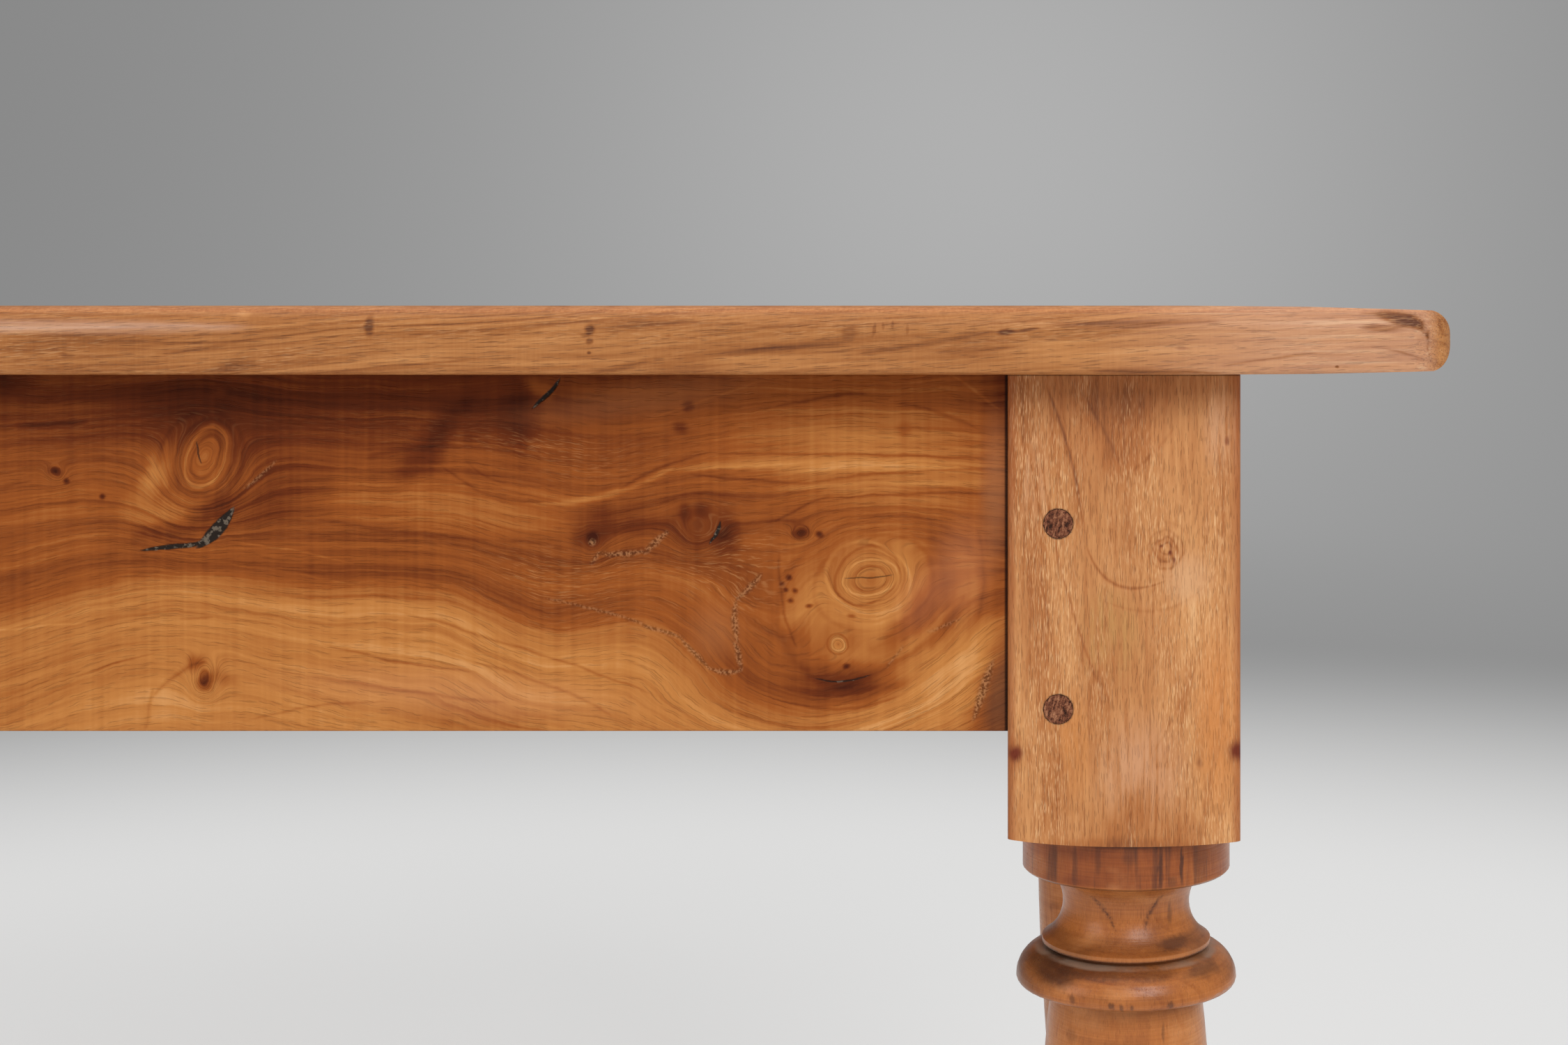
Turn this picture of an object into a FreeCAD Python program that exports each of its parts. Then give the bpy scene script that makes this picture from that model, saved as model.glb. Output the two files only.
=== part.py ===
import FreeCAD, Part

import math
import os

from FreeCAD import Vector

# Farmhouse dining table of solid wood, in millimetres.
# The origin is on the floor under the middle of the table: X runs along the table, -Y is its front.
# The frame is legs and aprons joined by pegged mortises and tenons, and the boards of the top lie on it.

# Whole table
table_length = 1900.0
table_width = 740.0
table_height = 760.0
end_overhang = 78.5
side_overhang = 25.0

# Top: boards of uneven width, held in one plane by loose tongues
top_thickness = 26.0
top_corner_radius = 20.0
top_arris_radius = 9.0
top_lower_arris_radius = 2.5
end_worn_length = 100.0
end_worn_bend_share = 0.25
end_upper_wear = 1.8
end_lower_wear = 1.4
end_round_length = 8.0
end_round_share = 0.3
end_tip_height = 13.5
end_spare = 1.0
board_width_shares = (0.26, 0.24, 0.23, 0.27)
board_names = ("front", "front_middle", "rear_middle", "rear")
seam_arris = 0.6
seam_gap = 0.1
tongue_thickness = 7.0
tongue_width = 24.0
tongue_end_margin = 70.0
tongue_clearance = 0.15

# Leg block: square, with the lower corners rounded where the lathe cut stops
block_width = 90.0
block_height = 183.1
block_arris_radius = 2.5
block_top_arris = 0.8
shoulder_rise = 3.2
shoulder_flat_share = 0.92
shoulder_bend_share = 0.35

# Rings under the block, each from the one above it downwards.
# The turning was centred a little outwards of the block's middle.
turning_offset = 2.5
disc_radius = 42.0
disc_height = 18.0
disc_edge_bevel = 0.9
cove_height = 28.1
cove_top_radius = 33.0
cove_neck_radius = 25.6
cove_neck_share = 0.48
lip_radius = 34.1
lip_height = 1.8
groove_radius = 32.2
groove_height = 1.7
ring_outer_radius = 44.6
ring_height = 14.6
ring_lower_round = 2.7
collar_radius = 30.2

# Long vase of the leg: it swells to a belly, draws in below it and hollows slightly to the ankle
vase_belly_radius = 35.0
vase_belly_share = 0.2
vase_turn_radius = 30.4
vase_turn_share = 0.53
ankle_radius = 20.5

# Bead at the ankle and the top-shaped foot under it
ankle_fillet_height = 3.0
ankle_fillet_radius = 24.0
bead_radius = 28.0
bead_height = 12.0
foot_height = 72.0
foot_neck_radius = 18.5
foot_neck_height = 9.0
foot_radius = 27.5
foot_belly_share = 0.7
foot_base_radius = 16.5
foot_base_bevel = 1.5

# Aprons and their haunched tenons
apron_height = 139.0
apron_thickness = 27.0
apron_setback = 4.0
apron_arris = 1.0
tenon_thickness = 9.0
tenon_length = 55.0
haunch_height = 28.0
haunch_length = 14.0
mortise_clearance = 0.15
mortise_end_clearance = 0.8

# Whittled pegs through the tenons: depths are measured down from the top of the leg
peg_flats = 12
peg_radius = 5.7
peg_length = 50.0
peg_proud = 0.3
peg_taper_length = 5.0
peg_tip_radius = 4.4
peg_edge_distance = 19.5
peg_upper_depth = 58.1
peg_lower_depth = 129.7
peg_clearance = 0.05

# Cross bearers under the top, housed in the long aprons
bearer_width = 62.0
bearer_height = 36.0
bearer_housing = 9.0
bearer_clearance = 0.15
bearer_place_share = 0.36
bearer_arris = 1.5

# Wooden buttons that hold the top down on the aprons
button_length = 44.0
button_width = 32.0
button_height = 20.0
button_tongue_length = 10.0
button_tongue_height = 8.0
button_slot_depth = 10.0
button_clearance = 0.15
button_side_clearance = 2.0
button_end_clearance = 1.5
button_arris = 1.5
button_place_shares = (-0.68, 0.0, 0.68)

# Countersunk wood screws, driven up into the boards
screw_head_radius = 4.5
screw_head_height = 3.2
screw_shank_radius = 2.3
screw_bite = 15.0
screw_clearance = 0.05
screw_countersink = 0.4
bearer_counterbore = 12.0

# One length for every cut that has to run past a face, and how near two edges count as level
overrun = 5.0
level_within = 0.01

# Heights and places that the pieces share
top_bottom = table_height - top_thickness
leg_height = top_bottom
block_bottom = leg_height - block_height
half_block = block_width / 2
leg_x = table_length / 2 - end_overhang - half_block
leg_y = table_width / 2 - side_overhang - half_block
apron_bottom = leg_height - apron_height
long_span = 2 * (leg_x - half_block)
short_span = 2 * (leg_y - half_block)
tenon_shoulder = (apron_thickness - tenon_thickness) / 2
peg_heights = (leg_height - peg_upper_depth, leg_height - peg_lower_depth)
bearer_x = bearer_place_share * leg_x

# The Y of each edge and seam of the top, front to rear
board_lines = [-table_width / 2]
for width_share in board_width_shares:
    board_lines.append(board_lines[-1] + width_share * table_width / sum(board_width_shares))
seams = board_lines[1:-1]

# Buttons stand at shares of the long aprons, and on the end aprons under the middle of each inner board
long_places = [share * leg_x for share in button_place_shares]
end_places = [(near + far) / 2 for near, far in zip(seams[:-1], seams[1:])]
button_places = {"front": long_places, "rear": long_places, "right": end_places, "left": end_places}


def box(low, high):
    """A block between two corners, given as (x, y, z)."""
    size = [b - a for a, b in zip(low, high)]
    return Part.makeBox(size[0], size[1], size[2], Vector(*low))


def turning(edges):
    """A solid of revolution about the vertical axis, from the edges of its half outline."""
    outline = Part.Face(Part.Wire(edges))
    return outline.revolve(Vector(0, 0, 0), Vector(0, 0, 1), 360)


def line(start, end):
    """A straight stretch of a half outline, between points given as (radius, height)."""
    return Part.LineSegment(Vector(start[0], 0, start[1]), Vector(end[0], 0, end[1])).toShape()


def arc(start, middle, end):
    """A round stretch of a half outline, through three points given as (radius, height)."""
    points = [Vector(r, 0, z) for r, z in (start, middle, end)]
    return Part.Arc(*points).toShape()


def arc_along(start, way, end):
    """An arc of a half outline that leaves its start along a way (radius, height) and reaches its end."""
    along = Vector(way[0], 0, way[1]).normalize()
    first = Vector(start[0], 0, start[1])
    chord = Vector(end[0], 0, end[1]) - first
    beside = Vector(along.z, 0, -along.x)
    radius = chord.Length ** 2 / (2 * chord.dot(beside))
    centre = first + beside * radius
    out = (first + chord / 2 - centre).normalize()
    middle = centre + out * abs(radius)
    return arc(start, (middle.x, middle.z), end)


def way_at_end(start, way, end):
    """The way in which such an arc arrives at its end."""
    along = Vector(way[0], 0, way[1]).normalize()
    chord = Vector(end[0] - start[0], 0, end[1] - start[1]).normalize()
    mirrored = chord * (2 * chord.dot(along)) - along
    return mirrored.x, mirrored.z


def quarter_round(start, end):
    """A quarter round of a half outline: it leaves its start level and meets its end upright."""
    far_share = 0.5 ** 0.5
    across = end[0] - start[0]
    down = end[1] - start[1]
    middle = (start[0] + far_share * across, start[1] + (1 - far_share) * down)
    return arc(start, middle, end)


def upright_edges(shape):
    """The vertical edges of a shape."""
    return [
        edge
        for edge in shape.Edges
        if edge.BoundBox.XLength < level_within and edge.BoundBox.YLength < level_within
    ]


def level_edges(shape, height):
    """The edges that lie flat at one height."""
    return [
        edge
        for edge in shape.Edges
        if edge.BoundBox.ZLength < level_within and abs(edge.BoundBox.ZMin - height) < level_within
    ]


def screw(length, bottom):
    """A countersunk wood screw on the vertical axis, with its head at the bottom."""
    head_top = bottom + screw_head_height
    top = bottom + length
    return turning([
        line((0, bottom), (screw_head_radius, bottom)),
        line((screw_head_radius, bottom), (screw_shank_radius, head_top)),
        line((screw_shank_radius, head_top), (screw_shank_radius, top)),
        line((screw_shank_radius, top), (0, top)),
        line((0, top), (0, bottom)),
    ])


def screw_hole(length, bottom):
    """The countersunk hole for a screw, a little larger all round and open below."""
    head_radius = screw_head_radius + screw_clearance
    shank_radius = screw_shank_radius + screw_clearance
    head_top = bottom + screw_head_height + screw_clearance
    top = bottom + length + screw_clearance
    edges = [
        line((0, bottom - overrun), (head_radius, bottom - overrun)),
        line((head_radius, bottom - overrun), (head_radius, bottom)),
        line((head_radius, bottom), (shank_radius, head_top)),
        line((shank_radius, head_top), (shank_radius, top)),
        line((shank_radius, top), (0, top)),
        line((0, top), (0, bottom - overrun)),
    ]
    return turning(edges)


def moved(shape, x, y, z=0):
    """A copy of a shape, shifted."""
    copy = shape.copy()
    copy.translate(Vector(x, y, z))
    return copy


def leg_turning():
    """The turned part of a leg, from the floor to the block, as one solid of revolution."""
    disc_bottom = block_bottom - disc_height
    lip_top = disc_bottom - cove_height
    lip_bottom = lip_top - lip_height
    ring_top = lip_bottom - groove_height
    ring_bottom = ring_top - ring_height
    ring_widest = ring_bottom + ring_lower_round
    bead_bottom = foot_height + foot_neck_height
    bead_top = bead_bottom + bead_height
    ankle = bead_top + ankle_fillet_height

    disc_rim = (disc_radius, disc_bottom + disc_edge_bevel)
    disc_under = (disc_radius - disc_edge_bevel, disc_bottom)
    disc = [
        line((0, block_bottom), (disc_radius, block_bottom)),
        line((disc_radius, block_bottom), disc_rim),
        line(disc_rim, disc_under),
        line(disc_under, (cove_top_radius, disc_bottom)),
    ]
    neck = (cove_neck_radius, disc_bottom - cove_neck_share * cove_height)
    cove = [arc((cove_top_radius, disc_bottom), neck, (lip_radius, lip_top))]
    lip = [
        line((lip_radius, lip_top), (lip_radius, lip_bottom)),
        line((lip_radius, lip_bottom), (groove_radius, ring_top)),
    ]
    ring_inner = ring_outer_radius - ring_lower_round
    ring = [
        quarter_round((groove_radius, ring_top), (ring_outer_radius, ring_widest)),
        quarter_round((ring_inner, ring_bottom), (ring_outer_radius, ring_widest)),
        line((ring_inner, ring_bottom), (collar_radius, ring_bottom)),
    ]

    vase_length = ring_bottom - ankle
    collar = (collar_radius, ring_bottom)
    belly = (vase_belly_radius, ring_bottom - vase_belly_share * vase_length)
    turn = (vase_turn_radius, ring_bottom - vase_turn_share * vase_length)
    vase = [
        arc_along(belly, (0, 1), collar),
        arc_along(belly, (0, -1), turn),
        arc_along(turn, way_at_end(belly, (0, -1), turn), (ankle_radius, ankle)),
    ]

    bead_middle = (bead_top + bead_bottom) / 2
    bead = [
        line((ankle_radius, ankle), (ankle_fillet_radius, ankle)),
        line((ankle_fillet_radius, ankle), (ankle_fillet_radius, bead_top)),
        arc((ankle_fillet_radius, bead_top), (bead_radius, bead_middle), (ankle_fillet_radius, bead_bottom)),
    ]
    foot_top = (foot_neck_radius, foot_height)
    foot_belly = (foot_radius, foot_belly_share * foot_height)
    foot_edge = (foot_base_radius, foot_base_bevel)
    foot_under = (foot_base_radius - foot_base_bevel, 0)
    foot = [
        arc_along(foot_top, (0, 1), (ankle_fillet_radius, bead_bottom)),
        arc_along(foot_belly, (0, 1), foot_top),
        arc_along(foot_belly, (0, -1), foot_edge),
        line(foot_edge, foot_under),
        line(foot_under, (0, 0)),
        line((0, 0), (0, block_bottom)),
    ]
    return turning(disc + cove + lip + ring + vase + bead + foot)


def leg_block():
    """The square block of a leg, with soft arrises and lathe-rounded lower corners."""
    low = (-half_block, -half_block, block_bottom)
    high = (half_block, half_block, leg_height)
    block = box(low, high)
    block = block.makeFillet(block_arris_radius, upright_edges(block))
    block = block.makeChamfer(block_top_arris, level_edges(block, leg_height))
    flat_radius = shoulder_flat_share * half_block
    corner_radius = math.hypot(half_block + turning_offset, half_block)
    bend_radius = (flat_radius + corner_radius) / 2
    bend = (bend_radius, block_bottom + shoulder_bend_share * shoulder_rise)
    corner = (corner_radius, block_bottom + shoulder_rise)
    top = leg_height + overrun
    shoulder = turning([
        line((0, top), (0, block_bottom)),
        line((0, block_bottom), (flat_radius, block_bottom)),
        arc((flat_radius, block_bottom), bend, corner),
        line(corner, (corner_radius, top)),
        line((corner_radius, top), (0, top)),
    ])
    return block.common(moved(shoulder, turning_offset, 0))


def mortise():
    """The hollow in the front right leg for the tenon of the long apron, on the leg's own axis."""
    cheek = -half_block + apron_setback + tenon_shoulder
    near = cheek - mortise_clearance
    far = cheek + tenon_thickness + mortise_clearance
    tenon_top = leg_height - haunch_height + mortise_clearance
    deep = box(
        (-half_block - overrun, near, apron_bottom - mortise_clearance),
        (-half_block + tenon_length + mortise_end_clearance, far, tenon_top),
    )
    haunch = box(
        (-half_block - overrun, near, tenon_top - mortise_clearance),
        (-half_block + haunch_length + mortise_end_clearance, far, leg_height + overrun),
    )
    return deep.fuse(haunch)


def peg_ring(radius, depth):
    """The flats of a peg, as a closed outline at a depth behind the front face of the block."""
    centre = Vector(-half_block + peg_edge_distance, -half_block + depth, 0)
    corners = []
    for number in range(peg_flats + 1):
        angle = math.radians(360 * number / peg_flats)
        corners.append(centre + Vector(radius * math.cos(angle), 0, radius * math.sin(angle)))
    return Part.makePolygon(corners)


def peg():
    """A whittled peg with a tapered tip, in the front face of the front right leg at height zero."""
    depths = (-peg_proud, peg_length - peg_taper_length, peg_length)
    radii = (peg_radius, peg_radius, peg_tip_radius)
    rings = [peg_ring(radius, depth) for radius, depth in zip(radii, depths)]
    return Part.makeLoft(rings, True, True)


def peg_hole():
    """The round hole for a peg, open at the front face of the front right leg, at height zero."""
    place = Vector(-half_block + peg_edge_distance, -half_block - overrun, 0)
    depth = peg_length + peg_clearance
    return Part.makeCylinder(peg_radius + peg_clearance, overrun + depth, place, Vector(0, 1, 0))


def both_faces(shapes):
    """Shapes for the front face of the front right leg, and their twins for its end face."""
    twins = [shape.mirror(Vector(0, 0, 0), Vector(1, 1, 0)) for shape in shapes]
    return shapes + twins


def front_right_leg():
    """A whole leg on its block's axis: block and turning of one piece, mortised and bored."""
    turned = moved(leg_turning(), turning_offset, 0)
    leg = leg_block().fuse(turned).removeSplitter()
    hollows = [mortise()] + [moved(peg_hole(), 0, 0, height) for height in peg_heights]
    return leg.cut(both_faces(hollows))


def front_right_pegs():
    """The four pegs of one leg, as separate solids on the leg's axis."""
    return both_faces([moved(peg(), 0, 0, height) for height in peg_heights])


def at_corner(shape, to_right, to_rear):
    """A shape made for the front right leg, carried to one of the four corners."""
    placed = moved(shape, leg_x, -leg_y)
    if not to_right:
        placed = placed.mirror(Vector(0, 0, 0), Vector(1, 0, 0))
    if to_rear:
        placed = placed.mirror(Vector(0, 0, 0), Vector(0, 1, 0))
    return placed


def button_slots(places):
    """The slots in an apron's inner face that take the tongues of the buttons."""
    half_width = button_width / 2 + button_side_clearance
    slot_top = leg_height - button_slot_depth
    slot_bottom = slot_top - button_tongue_height - 2 * button_clearance
    inner = apron_thickness - button_tongue_length - button_end_clearance
    return [
        box((x - half_width, inner, slot_bottom), (x + half_width, apron_thickness + overrun, slot_top))
        for x in places
    ]


def apron(span, button_places):
    """An apron along X with its outer face on Y zero, its tenons and the slots for the buttons."""
    half = span / 2
    body = box((-half, 0, apron_bottom), (half, apron_thickness, leg_height))
    body = body.makeFillet(apron_arris, [
        edge for edge in level_edges(body, apron_bottom) if edge.Length > apron_thickness + overrun
    ])
    cheek = (tenon_shoulder, tenon_shoulder + tenon_thickness)
    tenon_reach = half + tenon_length
    haunch_reach = half + haunch_length
    tenons = box(
        (-tenon_reach, cheek[0], apron_bottom),
        (tenon_reach, cheek[1], leg_height - haunch_height),
    )
    haunches = box(
        (-haunch_reach, cheek[0], apron_bottom + apron_arris),
        (haunch_reach, cheek[1], leg_height),
    )
    piece = body.fuse([tenons, haunches]).removeSplitter()
    hole_x = half + peg_edge_distance
    holes = [
        Part.makeCylinder(
            peg_radius + peg_clearance,
            apron_thickness + 2 * overrun,
            Vector(side * hole_x, -overrun, height),
            Vector(0, 1, 0),
        )
        for side in (-1, 1)
        for height in peg_heights
    ]
    return piece.cut(holes + button_slots(button_places))


def long_apron():
    """The front apron in its place, with housings for the cross bearers."""
    piece = apron(long_span, long_places)
    half_width = bearer_width / 2 + bearer_clearance
    inner = apron_thickness - bearer_housing - bearer_clearance
    bottom = leg_height - bearer_height - bearer_clearance
    housings = [
        box(
            (side * bearer_x - half_width, inner, bottom),
            (side * bearer_x + half_width, apron_thickness + overrun, leg_height + overrun),
        )
        for side in (-1, 1)
    ]
    return moved(piece.cut(housings), 0, -leg_y - half_block + apron_setback)


def end_apron():
    """The right-hand end apron in its place."""
    piece = apron(short_span, end_places)
    piece = moved(piece, 0, -leg_x - half_block + apron_setback)
    piece.rotate(Vector(0, 0, 0), Vector(0, 0, 1), 90)
    return piece


def button():
    """A button that reaches inwards from Y zero, with its tongue out past Y zero."""
    half_width = button_width / 2
    bottom = leg_height - button_height
    body = box((-half_width, 0, bottom), (half_width, button_length, leg_height))
    body = body.makeChamfer(button_arris, level_edges(body, bottom))
    tongue_top = leg_height - button_slot_depth - button_clearance
    tongue = box(
        (-half_width, -button_tongue_length, tongue_top - button_tongue_height),
        (half_width, button_arris, tongue_top),
    )
    return body.fuse(tongue).removeSplitter()


def against_apron(shape, side, along):
    """A shape made at Y zero, set against the inner face of one of the aprons."""
    is_long = side in ("front", "rear")
    leg_place = leg_y if is_long else leg_x
    inner_face = leg_place + half_block - apron_setback - apron_thickness
    placed = moved(shape, along, -inner_face)
    if not is_long:
        placed.rotate(Vector(0, 0, 0), Vector(0, 0, 1), 90)
    if side == "rear":
        placed = placed.mirror(Vector(0, 0, 0), Vector(0, 1, 0))
    if side == "left":
        placed = placed.mirror(Vector(0, 0, 0), Vector(1, 0, 0))
    return placed


def buttons_and_screws():
    """Buttons by apron, the screws through them, and the holes that these need in the boards."""
    screw_bottom = leg_height - button_height + screw_countersink
    length = button_height - screw_countersink + screw_bite
    middle = button_length / 2
    plain_screw = moved(screw(length, screw_bottom), 0, middle)
    plain_hole = moved(screw_hole(length, screw_bottom), 0, middle)
    plain_button = button().cut(plain_hole)
    buttons, screws, holes = {}, [], []
    for side, places in button_places.items():
        buttons[side] = [against_apron(plain_button, side, along) for along in places]
        screws += [against_apron(plain_screw, side, along) for along in places]
        holes += [against_apron(plain_hole, side, along) for along in places]
    return buttons, screws, holes


def bearer_and_screws():
    """The right-hand cross bearer, its screws, and the holes that these need in the boards."""
    reach = leg_y + half_block - apron_setback - apron_thickness + bearer_housing
    bottom = leg_height - bearer_height
    half_width = bearer_width / 2
    bearer = box((bearer_x - half_width, -reach, bottom), (bearer_x + half_width, reach, leg_height))
    long_edges = [edge for edge in level_edges(bearer, bottom) if edge.Length > bearer_width + overrun]
    bearer = bearer.makeChamfer(bearer_arris, long_edges)
    screw_bottom = bottom + bearer_counterbore
    length = bearer_height - bearer_counterbore + screw_bite
    lines = [-short_span / 2] + seams + [short_span / 2]
    middles = [(near + far) / 2 for near, far in zip(lines[:-1], lines[1:])]
    screws = [moved(screw(length, screw_bottom), bearer_x, y) for y in middles]
    holes = [moved(screw_hole(length, screw_bottom), bearer_x, y) for y in middles]
    counterbores = [
        Part.makeCylinder(
            screw_head_radius + screw_clearance,
            bearer_counterbore + overrun,
            Vector(bearer_x, y, bottom - overrun),
        )
        for y in middles
    ]
    return bearer.cut(holes + counterbores), screws, holes


def end_outline(side):
    """One end of the top seen from the front, from its face round the worn end to its underside."""
    half = table_length / 2
    inner = half - end_worn_length
    outer = half - end_round_length
    between = (inner + outer) / 2
    corner = half - end_round_share * end_round_length
    tip = top_bottom + end_tip_height
    upper = table_height - end_upper_wear
    lower = top_bottom + end_lower_wear
    points = [
        (inner, table_height),
        (between, table_height - end_worn_bend_share * end_upper_wear),
        (outer, upper),
        (corner, upper + end_round_share * (tip - upper)),
        (half, tip),
        (corner, lower + end_round_share * (tip - lower)),
        (outer, lower),
        (between, top_bottom + end_worn_bend_share * end_lower_wear),
        (inner, top_bottom),
    ]
    return [(side * x, z) for x, z in points]


def whole_top():
    """The outline of the top in one piece: round corners and arrises, thinner worn ends."""
    half = (table_length / 2 + end_spare, table_width / 2)
    slab = box((-half[0], -half[1], top_bottom), (half[0], half[1], table_height))
    slab = slab.makeFillet(top_corner_radius, upright_edges(slab))
    slab = slab.makeFillet(top_arris_radius, level_edges(slab, table_height))
    slab = slab.makeFillet(top_lower_arris_radius, level_edges(slab, top_bottom))
    right = end_outline(1)
    left = end_outline(-1)[::-1]
    outline = [line(left[-1], right[0]), line(right[-1], left[0])]
    for end in (right, left):
        flats = (end[0:2], end[1:3], end[6:8], end[7:9])
        rounds = (end[2:5], end[4:7])
        outline += [line(*points) for points in flats] + [arc(*points) for points in rounds]
    outline = Part.__sortEdges__(outline)
    ends = Part.Face(Part.Wire(outline)).extrude(Vector(0, table_width + 2 * overrun, 0))
    return slab.common(moved(ends, 0, -half[1] - overrun))


def seam_groove(y, height, towards):
    """The small V between two boards at one face of the top."""
    half = table_length / 2 + overrun
    corners = [
        Vector(-half, y - seam_arris, height),
        Vector(-half, y, height - towards * seam_arris),
        Vector(-half, y + seam_arris, height),
        Vector(-half, y + seam_arris, height + towards * overrun),
        Vector(-half, y - seam_arris, height + towards * overrun),
    ]
    outline = Part.Face(Part.makePolygon(corners + corners[:1]))
    return outline.extrude(Vector(2 * half, 0, 0))


def tongue(y, clearance):
    """A loose tongue on one seam, or with a clearance the room that is ploughed for it."""
    half_length = table_length / 2 - tongue_end_margin + clearance
    half_width = tongue_width / 2 + clearance
    half_thickness = tongue_thickness / 2 + clearance
    middle = top_bottom + top_thickness / 2
    return box(
        (-half_length, y - half_width, middle - half_thickness),
        (half_length, y + half_width, middle + half_thickness),
    )


def top_boards(screw_holes):
    """The boards of the top, front to rear, each cut from the whole outline."""
    slab = whole_top().cut(screw_holes)
    grooves = [seam_groove(y, table_height, 1) for y in seams]
    grooves += [seam_groove(y, top_bottom, -1) for y in seams]
    room = [tongue(y, tongue_clearance) for y in seams]
    slab = slab.cut(grooves + room)
    half = table_length / 2 + overrun
    boards = []
    for front, rear in zip(board_lines[:-1], board_lines[1:]):
        low = front + seam_gap / 2 if front in seams else front - overrun
        high = rear - seam_gap / 2 if rear in seams else rear + overrun
        strip = box((-half, low, top_bottom - overrun), (half, high, table_height + overrun))
        boards.append(slab.common(strip))
    return boards


def save(name, shapes):
    """Writes one node: a single solid, or a group of separate like solids."""
    solids = [solid for shape in shapes for solid in shape.Solids]
    whole = solids[0] if len(solids) == 1 else Part.makeCompound(solids)
    whole.exportStep("parts/" + name + ".step")
    volume = sum(solid.Volume for solid in solids)
    print(name, "solids", len(solids), "valid", whole.isValid(), "volume", round(volume))


def build():
    """Makes every piece and writes each node."""
    os.makedirs("parts", exist_ok=True)

    leg = front_right_leg()
    pegs = front_right_pegs()
    for depth, to_rear in (("front", False), ("rear", True)):
        for side, to_right in (("left", False), ("right", True)):
            save("leg_" + depth + "_" + side, [at_corner(leg, to_right, to_rear)])
            save("pegs_" + depth + "_" + side, [at_corner(piece, to_right, to_rear) for piece in pegs])

    front = long_apron()
    save("apron_front", [front])
    save("apron_rear", [front.mirror(Vector(0, 0, 0), Vector(0, 1, 0))])
    right = end_apron()
    save("apron_right", [right])
    save("apron_left", [right.mirror(Vector(0, 0, 0), Vector(1, 0, 0))])

    bearer, bearer_screws, bearer_holes = bearer_and_screws()
    across = (Vector(0, 0, 0), Vector(1, 0, 0))
    save("cross_bearer_right", [bearer])
    save("cross_bearer_left", [bearer.mirror(*across)])
    save("bearer_screws_right", bearer_screws)
    save("bearer_screws_left", [shape.mirror(*across) for shape in bearer_screws])

    buttons, button_screws, button_holes = buttons_and_screws()
    for name, group in buttons.items():
        save("top_buttons_" + name, group)
    save("button_screws", button_screws)

    board_holes = bearer_holes + [shape.mirror(*across) for shape in bearer_holes] + button_holes
    for name, board in zip(board_names, top_boards(board_holes)):
        save("top_board_" + name, [board])
    for name, y in zip(("front", "middle", "rear"), seams):
        save("top_tongue_" + name, [tongue(y, 0)])


build()
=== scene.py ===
from math import cos, pi, radians, sin

import bpy
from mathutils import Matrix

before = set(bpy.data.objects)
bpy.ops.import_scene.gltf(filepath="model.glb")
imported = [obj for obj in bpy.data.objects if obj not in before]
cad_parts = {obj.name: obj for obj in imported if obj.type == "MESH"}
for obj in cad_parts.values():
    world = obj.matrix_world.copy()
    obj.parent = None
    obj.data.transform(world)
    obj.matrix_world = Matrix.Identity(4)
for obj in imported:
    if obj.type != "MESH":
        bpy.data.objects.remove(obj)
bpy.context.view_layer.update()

bpy.context.scene.view_settings.view_transform = "Standard"


# The legs. Each is one length of wood: a square block left as sawn and planed, and below it a
# shaft turned on the lathe. The block is pale and dry with fine upright flecks, and the turned
# part is redder, darker in its creases and polished by hands and wax.
class Reading:
    """A number, colour or place that changes over a piece. Sums on it add Math nodes."""

    def __init__(self, socket):
        self.socket = socket

    def node(self, kind, settings=None, sockets=None, output=0):
        """Adds one node to this reading's material: its settings first, then its sockets."""
        tree = self.socket.id_data
        node = tree.nodes.new("ShaderNode" + kind)
        for name, value in (settings or {}).items():
            if name == "stops":
                elements = node.color_ramp.elements
                elements.remove(elements[1])
                elements[0].position, elements[0].color = value[0]
                for position, colour in value[1:]:
                    elements.new(position).color = colour
            else:
                setattr(node, name, value)
        for name, value in (sockets or {}).items():
            if isinstance(value, Reading):
                tree.links.new(value.socket, node.inputs[name])
            else:
                node.inputs[name].default_value = value
        return Reading(node.outputs[output]) if node.outputs else None

    def sum(self, operation, first, second=0.0):
        return self.node("Math", {"operation": operation}, {0: first, 1: second})

    def __add__(self, other):
        return self.sum("ADD", self, other)

    def __sub__(self, other):
        return self.sum("SUBTRACT", self, other)

    def __rsub__(self, other):
        return self.sum("SUBTRACT", other, self)

    def __mul__(self, other):
        return self.sum("MULTIPLY", self, other)

    def __truediv__(self, other):
        return self.sum("DIVIDE", self, other)

    def __rtruediv__(self, other):
        return self.sum("DIVIDE", other, self)

    def __pow__(self, other):
        return self.sum("POWER", self, other)

    def times(self, factor, more):
        """Multiplied by the factor, with more added, in one node."""
        return self.node("Math", {"operation": "MULTIPLY_ADD"}, {0: self, 1: factor, 2: more})

    def __abs__(self):
        return self.sum("ABSOLUTE", self)

    __radd__ = __add__
    __rmul__ = __mul__


def paint(red, green, blue):
    """The colour of a paint swatch, its red, green and blue given from 0 to 255."""
    return tuple(((c / 255 + 0.055) / 1.055) ** 2.4 for c in (red, green, blue)) + (1.0,)


def new_finish(name):
    """An empty material, and the place of each point that it covers, in metres."""
    finish = bpy.data.materials.new(name)
    finish.use_nodes = True
    finish.node_tree.nodes.clear()
    return finish, Reading(finish.node_tree.nodes.new("ShaderNodeTexCoord").outputs["Object"])


def fade(value, start, end):
    """Goes softly from 0 at the start to 1 at the end."""
    return value.node(
        "MapRange",
        {"interpolation_type": "SMOOTHSTEP"},
        {"Value": value, "From Min": start, "From Max": end},
    )


def blend(share, first, second):
    """Goes from the first colour to the second as the share goes from 0 to 1."""
    return share.node("Mix", {"data_type": "RGBA"}, {0: share, 6: first, 7: second}, 2)


def most(first, second):
    """The greater of two readings, or the second alone while there is no first."""
    return second if first is None else first.sum("MAXIMUM", first, second)


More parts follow.
